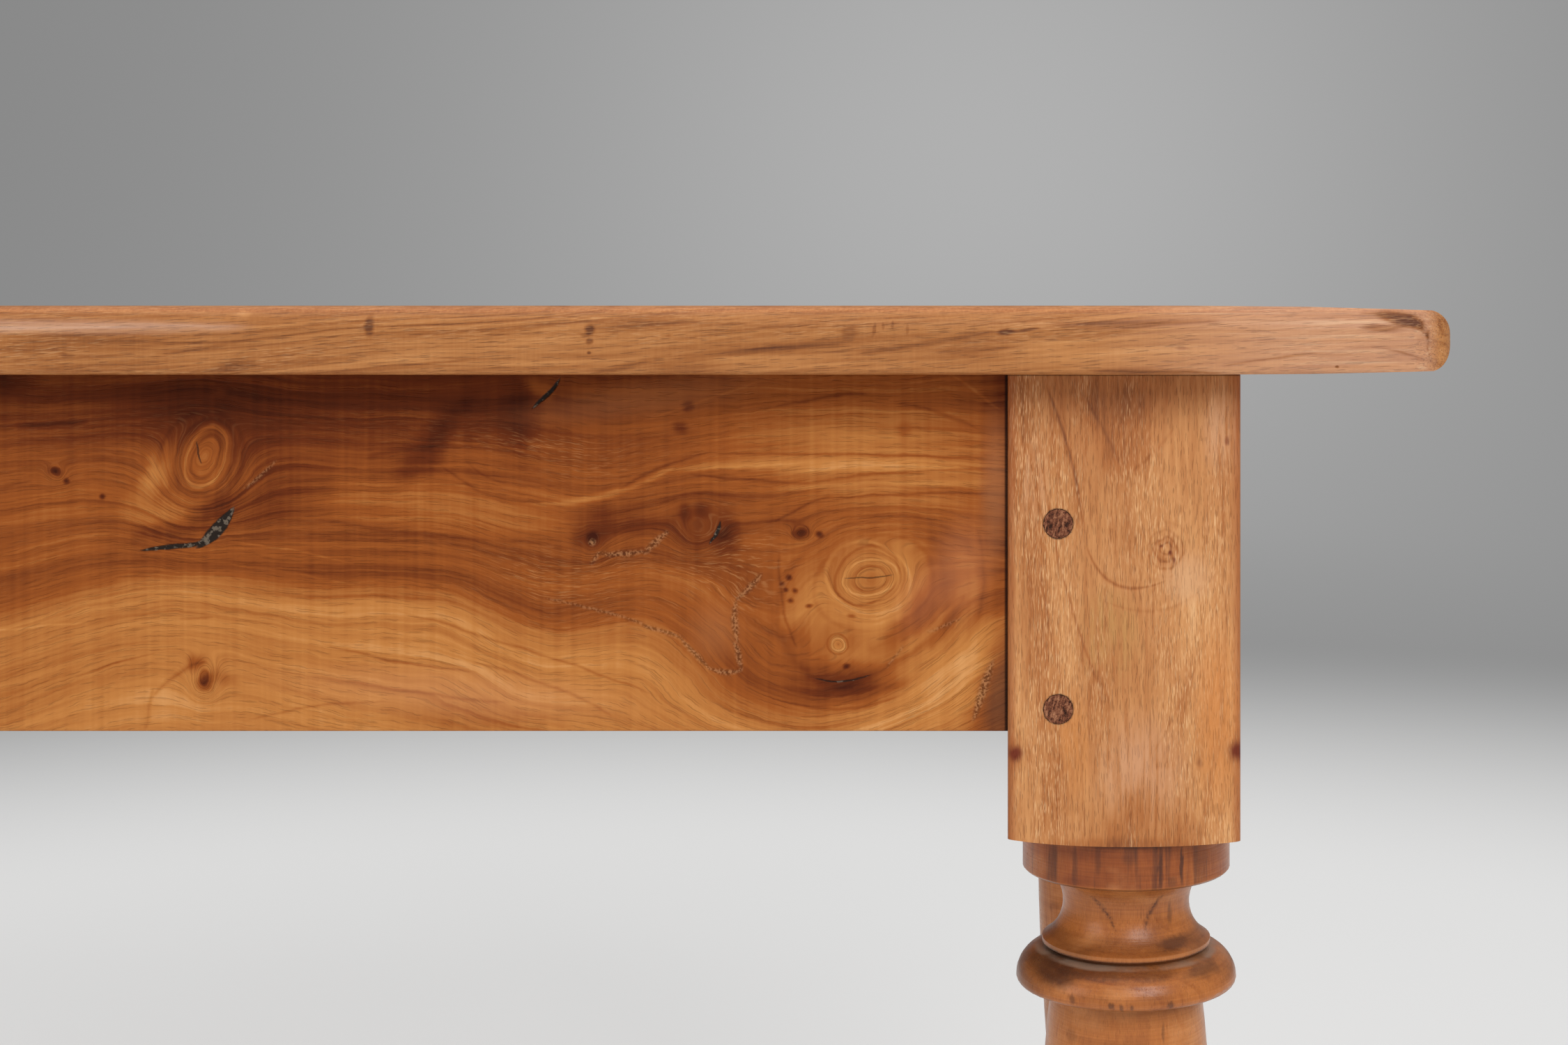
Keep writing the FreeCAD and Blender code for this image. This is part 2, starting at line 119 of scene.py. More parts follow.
def both(first, second):
    """The sum of two readings, or the second alone while there is no first."""
    return second if first is None else first + second


def laid(place, middle, turn=(0, 0, 0), size=(1, 1, 1)):
    """The same place, measured from a middle along turned axes, in units of the size."""
    return place.node(
        "Mapping",
        {"vector_type": "TEXTURE"},
        {
            "Vector": place,
            "Location": middle,
            "Rotation": [radians(angle) for angle in turn],
            "Scale": size,
        },
    )


def in_millimetres(place):
    return laid(place, (0, 0, 0), (0, 0, 0), (0.001, 0.001, 0.001))


def cloud(place, rate, detail=2.0, shift=0.0):
    """Uneven noise about a half that changes so many times per unit of length each way."""
    spot = place.node("Mapping", None, {"Vector": place, "Scale": rate, "Location": (shift, 0, 0)})
    return place.node("TexNoise", None, {"Vector": spot, "Scale": 1.0, "Detail": detail})


def axis(place, number):
    """How far a place is along X, Y or Z, which are numbers 0, 1 and 2."""
    return place.node("SeparateXYZ", None, {0: place}, number)


def length(place):
    """How far a place is from the origin that it is measured from."""
    return place.node("VectorMath", {"operation": "LENGTH"}, {0: place}, "Value")


def shaken(place, rate, reach, shift=0.0):
    """The same place, pushed about unevenly by up to about half the reach each way."""
    pushes = {
        number: (cloud(place, rate, 2.0, shift + 7.3 * number) - 0.5) * far
        for number, far in enumerate(reach) if far
    }
    push = place.node("CombineXYZ", None, pushes)
    return place.node("Mapping", None, {"Vector": place, "Location": push})


def rings_in(trunk, width, wander):
    """Counts growth rings outwards from the pith, which lies along the trunk's X axis."""
    spot = shaken(trunk, (3, 16, 16), (0, wander, wander))
    across, depth = axis(spot, 1), axis(spot, 2)
    return (across * across + depth * depth) ** 0.5 / width


def grain(trunk, rings, tints, shares, flecks=0.3, pores=0.45, extra=0.0, fine=1.0):
    """Colour, relief and tone of planed wood: rings, patches, fibres, dark late wood and pores."""
    by_band, by_patch, by_fibre, by_late = shares
    band = rings.node("TexNoise", {"noise_dimensions": "1D"}, {"W": rings, "Scale": 1.1})
    patch = cloud(trunk, (5, 22, 22), 2.0, 3.1)
    fibre = cloud(trunk, (18, 700, 700), 5.0, 7.7)
    turn = rings.sum("FRACT", rings)
    strong = fade(cloud(trunk, (7, 40, 40), 1.0, 9.2), 0.42, 0.62)
    late = fade(turn, 0.62, 0.95) * fade(turn, 1.0, 0.95) * strong
    tone = (
        0.5 + (band - 0.5) * by_band + (patch - 0.5) * by_patch
        + (fibre - 0.5) * by_fibre - late * by_late + extra
    )
    steps = [index / (len(tints) - 1) for index in range(len(tints))]
    colour = tone.node("ValToRGB", {"stops": list(zip(steps, tints))}, {"Fac": tone})
    pore = fade(cloud(trunk, (130 / fine, 2000 * fine, 2000 * fine), 1.0, 1.3), 0.58, 0.72)
    fleck = fade(cloud(trunk, (210 / fine, 2300 * fine, 2300 * fine), 1.0, 5.9), 0.52, 0.70)
    fleck = fleck * fade(cloud(trunk, (10, 60, 60), 2.0, 4.8), 0.36, 0.62)
    colour = blend(pore * pores, colour, tints[0])
    colour = blend(fleck * flecks, colour, tints[-1])
    relief = fibre * 0.6 - pore * 0.8 - late * 0.5
    return colour, relief, tone


def ball(flat, x, z, long, high, tilt):
    """A spot that goes right through a piece: 1 in its middle, falling evenly to 0 at its rim."""
    through = 10000
    spot = laid(flat, (x, 0, z), (0, tilt, 0), (long, through, high))
    return spot.node("TexGradient", {"gradient_type": "SPHERICAL"}, {"Vector": spot}, 1)


def stroke(across, up, x, z, half, tilt, bend, width, soft=0.35):
    """A bent blade, widest in the middle of its length, with soft edges."""
    lean, rise = cos(radians(tilt)), sin(radians(tilt))
    along = up.times(-rise / half, across.times(lean / half, (z * rise - x * lean) / half))
    along = along * along
    off = up.times(lean, across.times(rise, -x * rise - z * lean))
    gap = along.times(width, abs(along.times(-bend, off)))
    return fade(gap, width + soft, width - soft) * fade(along, 1.0, 0.6)


def waxed(finish, colour, rough, relief, depth, gloss=0.3, coat=0.0):
    """Ends a finish: one satin surface with the relief, whose full depth is in metres."""
    bump = relief.node("Bump", None, {"Strength": 1.0, "Distance": depth, "Height": relief})
    surface = colour.node(
        "BsdfPrincipled",
        None,
        {
            "Base Color": colour, "Roughness": rough, "Normal": bump,
            "Specular IOR Level": gloss, "Coat Weight": coat, "Coat Roughness": 0.25,
        },
    )
    surface.node("OutputMaterial", None, {"Surface": surface})
    return finish


def dress(name, finish):
    """Puts a finish on a piece of the frame."""
    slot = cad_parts[name].material_slots[0]
    slot.link = "OBJECT"
    slot.material = finish


block_tints = [paint(112, 56, 24), paint(172, 104, 52), paint(206, 144, 88), paint(236, 188, 136)]
turned_tints = [paint(92, 42, 16), paint(150, 82, 36), paint(188, 114, 56), paint(214, 148, 90)]
half_block = 0.045
peg_radius = 0.0057
peg_inset = 0.0255
peg_heights = (0.6759, 0.6043)
# heights in millimetres: the block's ends, then down the turning the disc's lower edge, the foot
# of the cove, dark with dirt and painted shade, the lip below it with a painted highlight on its
# edge, and the groove where dust stays
block_head = 734.0
block_foot = 550.9
disc_edge = 533.6
cove_foot = 507.5
lip_edge = 504.2
groove = 501.0
# heights between which a look begins and is full: the head of the block, darkened as painted
# shade under the top, the disc, the ring, the vase, and the smoke from above and from below
head_shade_under_top = (640, 735)
disc_band = (531.5, 534.0)
ring_band = (505, 498)
vase_band = (489, 480)
smoke_above = (515, 502)
smoke_below = (487, 497)
# height, half width and darkness of each crease where wax and dust collect
creases = [
    (0.5506, 0.0013, 0.6), (0.5328, 0.0012, 0.7), (0.5024, 0.0015, 1.0), (0.4862, 0.0018, 0.7),
    (0.0860, 0.0016, 0.6), (0.0740, 0.0016, 0.6),
]
# x and y of the block's middle, then the pith's place from there and its lean: how far, which way
leg_stock = {
    "leg_front_right": (0.8265, -0.300, (0.006, 0.013, 0.65), (3.5, -90)),
    "leg_front_left": (-0.8265, -0.300, (0.020, 0.040, 0.40), (-3.0, 40)),
    "leg_rear_right": (0.8265, 0.300, (-0.050, -0.012, 0.30), (2.5, 120)),
    "leg_rear_left": (-0.8265, 0.300, (-0.018, 0.052, 0.50), (4.0, -30)),
}
# Places on the front right block are in millimetres from its middle. First the broad paler and
# darker places: x, height, half length, half height, tilt and tone
block_shades = [
    (0, 710, 18, 24, 0, -0.17), (-2, 722, 30, 12, 0, -0.08), (-42, 587, 9, 10, 0, -0.18),
    (43, 588, 9, 10, 0, -0.16), (-8, 575, 12, 24, 4, 0.09), (24, 640, 12, 26, -14, 0.08),
    (-27, 575, 8, 26, 0, -0.10), (2.7, 561, 7, 17, 0, -0.12), (8, 590, 26, 36, 0, 0.07),
    (-34, 640, 9, 60, 0, -0.08), (30, 640, 14, 40, 0, 0.06), (-12, 660, 9, 40, 3, 0.06),
    (36, 570, 8, 30, 0, -0.05), (0, 728, 50, 14, 0, -0.07), (16.4, 665.7, 8, 9, 0, -0.16),
    (15.8, 664.8, 3.6, 4.2, 0, 0.12), (20, 712, 22, 18, 0, 0.04), (0, 551, 60, 5, 0, -0.16),
    (24, 556, 9, 9, 0, -0.08), (-9, 612, 10, 14, 0, -0.05),
]
# x, height, half width, half height and tint of each place of another hue
block_hues = [
    (6, 580, 24, 30, paint(206, 152, 116)), (-6, 632, 16, 26, paint(180, 134, 72)),
    (36, 600, 12, 50, paint(204, 124, 56)), (-36, 690, 9, 30, paint(208, 156, 118)),
    (24, 655, 14, 14, paint(212, 160, 116)), (38, 712, 10, 24, paint(214, 164, 126)),
    (-20, 590, 12, 30, paint(198, 122, 56)), (0, 712, 16, 18, paint(190, 110, 48)),
]
# x, height, half length, tilt, bend, half width, softness and tone of each line
block_lines = [
    (-20.5, 700.5, 32, 75.6, -2.5, 0.5, 0.9, -0.34),
    (-3.4, 652.5, 18, 24.9, 10.5, 0.5, 0.9, -0.34), (-24.8, 660.3, 54, 76.5, 4.4, 0.4, 0.9, -0.28),
    (-9, 714, 19, 62, -1, 0.4, 1.2, -0.17), (11, 703, 14, -45, 1.5, 0.4, 1.2, -0.15),
    (16, 643, 24, -14, 10, 0.35, 1.2, -0.14), (-29, 638, 30, 79, 1, 0.4, 0.8, -0.20),
    (-34, 690, 26, 80, -1, 0.3, 0.8, -0.14), (24, 612, 30, -66, 2, 0.3, 0.9, -0.14),
    (-16, 572, 18, 88, 0, 0.3, 0.7, -0.18), (-31, 572, 18, 88, 0, 0.3, 0.7, -0.18),
    (-9, 573, 20, 90, 0, 0.3, 0.5, 0.16), (-23, 610, 40, 88, 1, 0.3, 0.8, 0.10),
    (33, 600, 44, 91, -1, 0.3, 0.9, 0.10), (27, 690, 34, 88, 0, 0.3, 0.8, -0.10),
    (38, 640, 60, 90, 0, 0.3, 0.7, -0.10),
]
# x, height, half width, half height and darkness of small red knots
block_knots = [
    (-42.2, 587.1, 4.6, 4.6, 1.0), (43.8, 588.2, 4.6, 6.0, 1.0), (29.0, 583.5, 2.2, 2.4, 0.35),
    (39.5, 708.0, 1.8, 2.4, 0.6), (17.5, 664.0, 1.5, 1.7, 0.9), (19.0, 661.2, 1.0, 1.9, 0.8),
    (14.2, 667.4, 1.0, 1.0, 0.6),
]
# x and height of its eye knot, then radius, width as a share and tone of each ring round it
eye_knot = (16.0, 666.0)
eye_rings = [(2.2, 0.3, -0.2), (4.2, 0.2, -0.18), (6.8, 0.14, -0.12), (9.6, 0.10, -0.05)]
# the same of dark marks on its turning: streaks on the disc, smoke on the rings, partly painted
# shade on their left side, wear below them
turned_marks = [
    (14.2, 541.0, 1.5, 13, 0.75), (22.6, 542.0, 1.1, 12, 0.75), (19.0, 536.0, 2.2, 4, 0.4),
    (-19.0, 541.0, 1.6, 14, 0.4), (-27.5, 540.0, 2.4, 14, 0.5), (2.0, 547.0, 4.0, 6, 0.4),
    (-10.0, 545.0, 2.0, 8, 0.35), (31.0, 541.0, 3.5, 12, 0.3), (20.5, 508.0, 9, 3.2, 0.6),
    (-28.0, 498.0, 12, 7, 0.7), (-12.0, 499.8, 24, 3.2, 0.6), (12.0, 499.5, 14, 2.6, 0.45),
    (-5.0, 489.3, 1.8, 2.2, 0.6), (-1.0, 488.6, 1.2, 2.2, 0.55), (3.0, 488.8, 1.4, 2.0, 0.55),
    (18.0, 489.0, 2.2, 2.2, 0.6), (-20.0, 490.0, 1.6, 2.6, 0.5), (16.0, 474.0, 1.0, 6.0, 0.4),
    (19.0, 519.0, 1.2, 6.5, 0.45), (-38.0, 509.0, 6.0, 7.0, 0.5), (-20.0, 471.0, 3.0, 4.0, 0.25),
]
# x, height, half length, tilt, bend, half width and softness of each speckled line on its cove
cove_lines = [(-6.6, 520.6, 9.0, 53, -1.6, 0.7, 1.1), (11.4, 521.0, 8.5, -62, -1.6, 0.7, 1.1)]
for name, (x, y, pith, (lean, way)) in leg_stock.items():
    finish, place = new_finish(name + "_wood")
    own = laid(place, (x, y, 0))
    flat = in_millimetres(own)
    across, up = axis(flat, 0), axis(flat, 2)
    trunk = laid(own, pith, (0, lean - 90, way))
    bent = shaken(trunk, (30, 90, 90), (0, 0.002, 0.002), x + y)
    rings = rings_in(bent, 0.0055, 0.020)
    turned = fade(up, block_foot + 0.6, block_foot - 0.6)
    # painted shade: the block darkens towards its head, under the table top
    marks = 0.01 - fade(up, *head_shade_under_top) * 0.08
    if name == "leg_front_right":
        front = fade(axis(flat, 1), -40, -44)
        near = shaken(flat, (0.22, 0.22, 0.12), (2.2, 0, 3.4))
        apart = ball(near, 16.4, 665.7, 30, 34, 0).times(-6, 6)
        rings = rings + 2.2 / (1 + apart * apart)
        drawn = None
        for *spot, amount in block_shades:
            drawn = both(drawn, fade(ball(near, *spot), 0.0, 0.8) * amount)
        for radius, width, amount in eye_rings:
            apart = ball(near, *eye_knot, 3 * radius, 3.3 * radius, 0).times(-3, 3)
            drawn = fade(abs(apart - 1), width, 0).times(amount, drawn)
        for *line, amount in block_lines:
            drawn = stroke(across, up, *line).times(amount, drawn)
        marks = marks + drawn * front

    pale, relief, tone = grain(
        trunk, rings, block_tints, (0.20, 0.60, 0.55, 0.08), 0.62, 0.34, marks - 0.02, 1.35
    )
    sides = abs(axis(own, 0)), abs(axis(own, 1))
    worn = fade(sides[0].sum("MINIMUM", *sides), half_block - 0.0042, half_block - 0.0014)
    pale = blend(worn * 0.6, pale, paint(158, 84, 38))
    # painted shadow: a dark line along the block's head, standing in for the gap under the top
    gap_shadow_under_top = fade(up, block_head - 1.4, block_head - 0.4)
    pale = blend(gap_shadow_under_top * 0.85, pale, paint(48, 26, 14))
    if name == "leg_front_right":
        for *spot, tint in block_hues:
            hue = fade(ball(near, *spot, 0), 0.0, 0.8) * fade(tone, 0.34, 0.62) * front
            pale = blend(hue * 0.6, pale, tint)
        for *spot, dark in block_knots:
            knot = fade(ball(near, *spot, 0), 0.05, 0.8)
            pale = blend(knot * dark * front, pale, paint(112, 40, 10))
    rough_ring = cloud(own, (900, 900, 900), 2.0, 1.0)
    right, back = x / abs(x), y / abs(y)
    for faced, toward, crossed, inward in ((1, back, 0, -right), (0, right, 1, -back)):
        face = fade(axis(own, faced) * toward, half_block - 0.0015, half_block - 0.0005)
        for level in peg_heights:
            middle, size = [0, 0, level], [1, 1, 1]
            middle[crossed], size[faced] = inward * peg_inset, 1e6
            hole = length(laid(own, middle, (0, 0, 0), size))
            rim = fade(hole + rough_ring * 0.0010, peg_radius + 0.0012, peg_radius + 0.0004)
            pale = blend(rim * face * 0.75, pale, paint(52, 30, 20))

    lathe = cloud(own, (30, 30, 1500), 2.0, 6.0)
    disc = fade(up, *disc_band)
    vase = fade(up, *vase_band)
    ruddy, _, ruddy_tone = grain(
        trunk, rings, turned_tints, (0.20, 0.55, 0.30, 0.10), 0.14, 0.30,
        0.08 + (lathe - 0.5) * 0.34 - disc * 0.21 + vase * 0.14 - fade(up, *ring_band) * 0.05, 1.2
    )
    hands = cloud(own, (38, 38, 90), 5.0, 4.0)
    ruddy = blend(fade(hands, 0.52, 0.80) * 0.50, ruddy, paint(100, 44, 18))
    ruddy = blend(fade(hands, 0.48, 0.25) * 0.40, ruddy, paint(226, 158, 100))
    ruddy = blend(disc * 0.25, ruddy, paint(146, 64, 22))
    streak = fade(cloud(own, (330, 330, 14), 3.0, 2.0), 0.54, 0.72) * fade(up, 530, 534)
    ruddy = blend(streak * 0.5, ruddy, paint(62, 38, 32))
    smoke = fade(cloud(own, (30, 30, 70), 4.0, 11.3), 0.50, 0.66)
    smoke = smoke * fade(up, *smoke_above) * fade(up, *smoke_below)
    ruddy = blend(smoke * 0.55, ruddy, paint(66, 38, 24))
    if name == "leg_front_right":
        front = fade(axis(flat, 1), 0, -8)
        # the left side of the rings darkened, partly dark patina and partly painted shade
        patina_and_shade_left = fade(axis(flat, 0), -26, -41) * fade(up, 512, 502) * fade(up, 478, 488)
        ruddy = blend(patina_and_shade_left * 0.5, ruddy, paint(70, 44, 30))
        torn = shaken(flat, (0.7, 0.7, 0.25), (1.8, 0, 2.4), 3.0)
        for *spot, dark in turned_marks:
            mark = fade(ball(torn, *spot, 0), 0.0, 0.7)
            ruddy = blend(mark * dark * front, ruddy, paint(58, 34, 28))
        crumb = fade(cloud(own, (900, 900, 900), 2.0, 3.0), 0.42, 0.62) * front
        for line in cove_lines:
            speckle = stroke(across, up, *line) * (crumb * 0.6 + 0.35)
            ruddy = blend(speckle, ruddy, paint(78, 40, 24))
    crease = None
    for level, reach, depth in creases:
        crease = most(crease, fade(abs(up / 1000 - level) / reach, 1.0, 0.2) * depth)
    ruddy = blend(crease * 0.72, ruddy, paint(50, 30, 20))
    dusty = fade(abs(up - groove + (hands - 0.5) * 1.2), 0.9, 0.2) * fade(hands, 0.36, 0.56)
    ruddy = blend(dusty * 0.55, ruddy, paint(160, 140, 122))
    # a painted highlight along the lip's edge, and a pale worn line at the disc's lower edge
    lip_highlight_and_disc_wear = fade(abs(up - lip_edge), 1.0, 0.3) + fade(abs(up - disc_edge), 0.7, 0.2) * 0.6
    ruddy = blend(lip_highlight_and_disc_wear * 0.32, ruddy, paint(214, 138, 74))
    # the foot of the cove darker, partly dirt and partly painted shade above the lip
    cove_grime_and_shade = fade(abs(up - cove_foot), 4.5, 0.5) * fade(hands, 0.32, 0.58)
    ruddy = blend(cove_grime_and_shade * 0.5, ruddy, paint(84, 44, 24))
    colour = blend(turned, pale, ruddy)
    rough = 0.52 - turned * 0.20 + (0.5 - tone) * 0.12 + (hands - 0.5) * turned * 0.25
    bump = relief * (1 - turned * 0.6) + lathe * turned * 0.6
    dress(name, waxed(finish, colour, rough, bump, 0.00016, 0.32, turned * 0.15))


# The aprons. Four flat-sawn boards between the legs, each end cut to a tenon. The front one is
# full of knots, with the grain flowing round them, pale sapwood along its lower side and
# red-brown heartwood above, and a few splits and pockets. Places are in millimetres.
apron_tints = [
    paint(64, 22, 5), paint(106, 46, 14), paint(154, 82, 31), paint(192, 125, 63),
    paint(224, 166, 106),
]
# in millimetres: the width of a growth ring, and the heights over which the board grows darker,
# partly as painted shade under the top and partly as darker wood
apron_ring = 10.0
upper_shade_and_darker_wood = (686, 730)
# how far the faces of the long and end aprons are from the table's middle, and their shoulders
long_apron = {"face": 341, "end": 781.5}
end_apron = {"face": 867.5, "end": 255}


def apron_finish(name, turn, board):
    """Flat-sawn board: rings that flow round the knots, heartwood above, sapwood below."""
    finish, place = new_finish(name + "_wood")
    own = laid(place, (0, 0, 0), (0, 0, turn))
    flat = in_millimetres(own)
    near = shaken(flat, (0.05, 0.02, 0.09), (2.5, 0, 2.5), turn)
    near = shaken(near, (0.30, 0.05, 0.5), (0.7, 0, 0.7), turn)
    loose = shaken(near, (0.06, 0.02, 0.09), (8, 0, 8), turn + 5)
    far = shaken(near, (0.010, 0.01, 0.025), (0, 0, 12), turn)
    across, up = axis(near, 0), axis(near, 2)
    level = axis(far, 2) + (axis(flat, 1) + board["face"]) * 0.4
    for *spot, rise in board["humps"]:
        level = fade(ball(flat, *spot), 0.0, 1.0).times(-rise, level)
    count = None
    for x, z, long, high, tilt, ring_count in board["knots"]:
        apart = ball(near, x, z, 6 * long, 6 * high, tilt).times(-6, 6)
        level = level + (z - level) / (1 + apart ** 4)
        hill = ring_count / (1 + apart * apart)
        count = both(count, hill)
    rings = level / apron_ring + count
    sap = fade(level, board["heart"] + 7, board["heart"] - 9)
    # the board darkens towards its top: partly painted shade under the overhanging top, partly
    # darker wood
    extra = sap * 0.26 - 0.07 - fade(axis(flat, 2), *upper_shade_and_darker_wood) * 0.18
    for *spot, amount in board["shades"]:
        extra = fade(ball(loose, *spot), 0.0, 1.0).times(amount, extra)
    for *spot, amount in board["dots"]:
        extra = fade(ball(near, *spot), 0.0, 1.0).times(amount, extra)
    for x, z, long, high, tilt, width, amount in board["hoops"]:
        apart = ball(near, x, z, 3 * long, 3 * high, tilt).times(-3, 3)
        extra = fade(abs(apart - 1), width, 0).times(amount, extra)
    for *line, amount in board["lines"]:
        extra = stroke(across, up, *line).times(amount, extra)
    chatter = cloud(own, (420, 60, 14), 1.0, 4.4)
    ends = fade(abs(axis(flat, 0)), board["end"] - 14, board["end"] - 1)
    extra = extra + (chatter - 0.5) * 0.12 - ends * 0.12
    trunk = own.node("CombineXYZ", None, {0: axis(own, 0), 1: axis(own, 1), 2: rings * 0.010})
    curly = 0.05
    for x, z, long, high in board["curls"]:
        curly = fade(ball(loose, x, z, long, high, 0), 0.0, 0.8).times(0.17, curly)
    colour, relief, tone = grain(
        trunk, rings, apron_tints, (0.22, 0.30, 0.34, 0.08), curly, 0.22, extra, 1.2
    )
    around = across.node("CombineXYZ", None, {0: across, 2: up})
    for *spot, share, tint in board["hues"]:
        colour = blend(fade(ball(around, *spot), 0.0, 0.9) * share, colour, tint)
    grit = fade(cloud(own, (900, 900, 900), 2.0, 6.0), 0.42, 0.60)
    dust = blend(grit, paint(70, 38, 20), paint(176, 124, 82))
    for line in board["pockets"]:
        colour = blend(stroke(across, up, *line, 1.0) * 0.62, colour, dust)
    crack = None
    for line in board["splits"]:
        crack = most(crack, stroke(across, up, *line))
    crumbs = fade(cloud(own, (500, 500, 500), 3.0, 9.0), 0.54, 0.64)
    colour = blend(crack, colour, blend(crumbs * 0.6, paint(40, 32, 27), paint(130, 116, 100)))
    # painted shadow: a dark line at each end of the board, in the joint against the leg
    joint_shadow = fade(abs(axis(flat, 0)), board["end"] - 1.6, board["end"] - 0.7)
    colour = blend(joint_shadow * 0.85, colour, paint(22, 12, 8))
    rough = 0.50 + (0.5 - tone) * 0.12
    relief = relief + (chatter - 0.5) * 0.25 - crack * 4.0
    dress(name, waxed(finish, colour, rough, relief, 0.00012, 0.10))


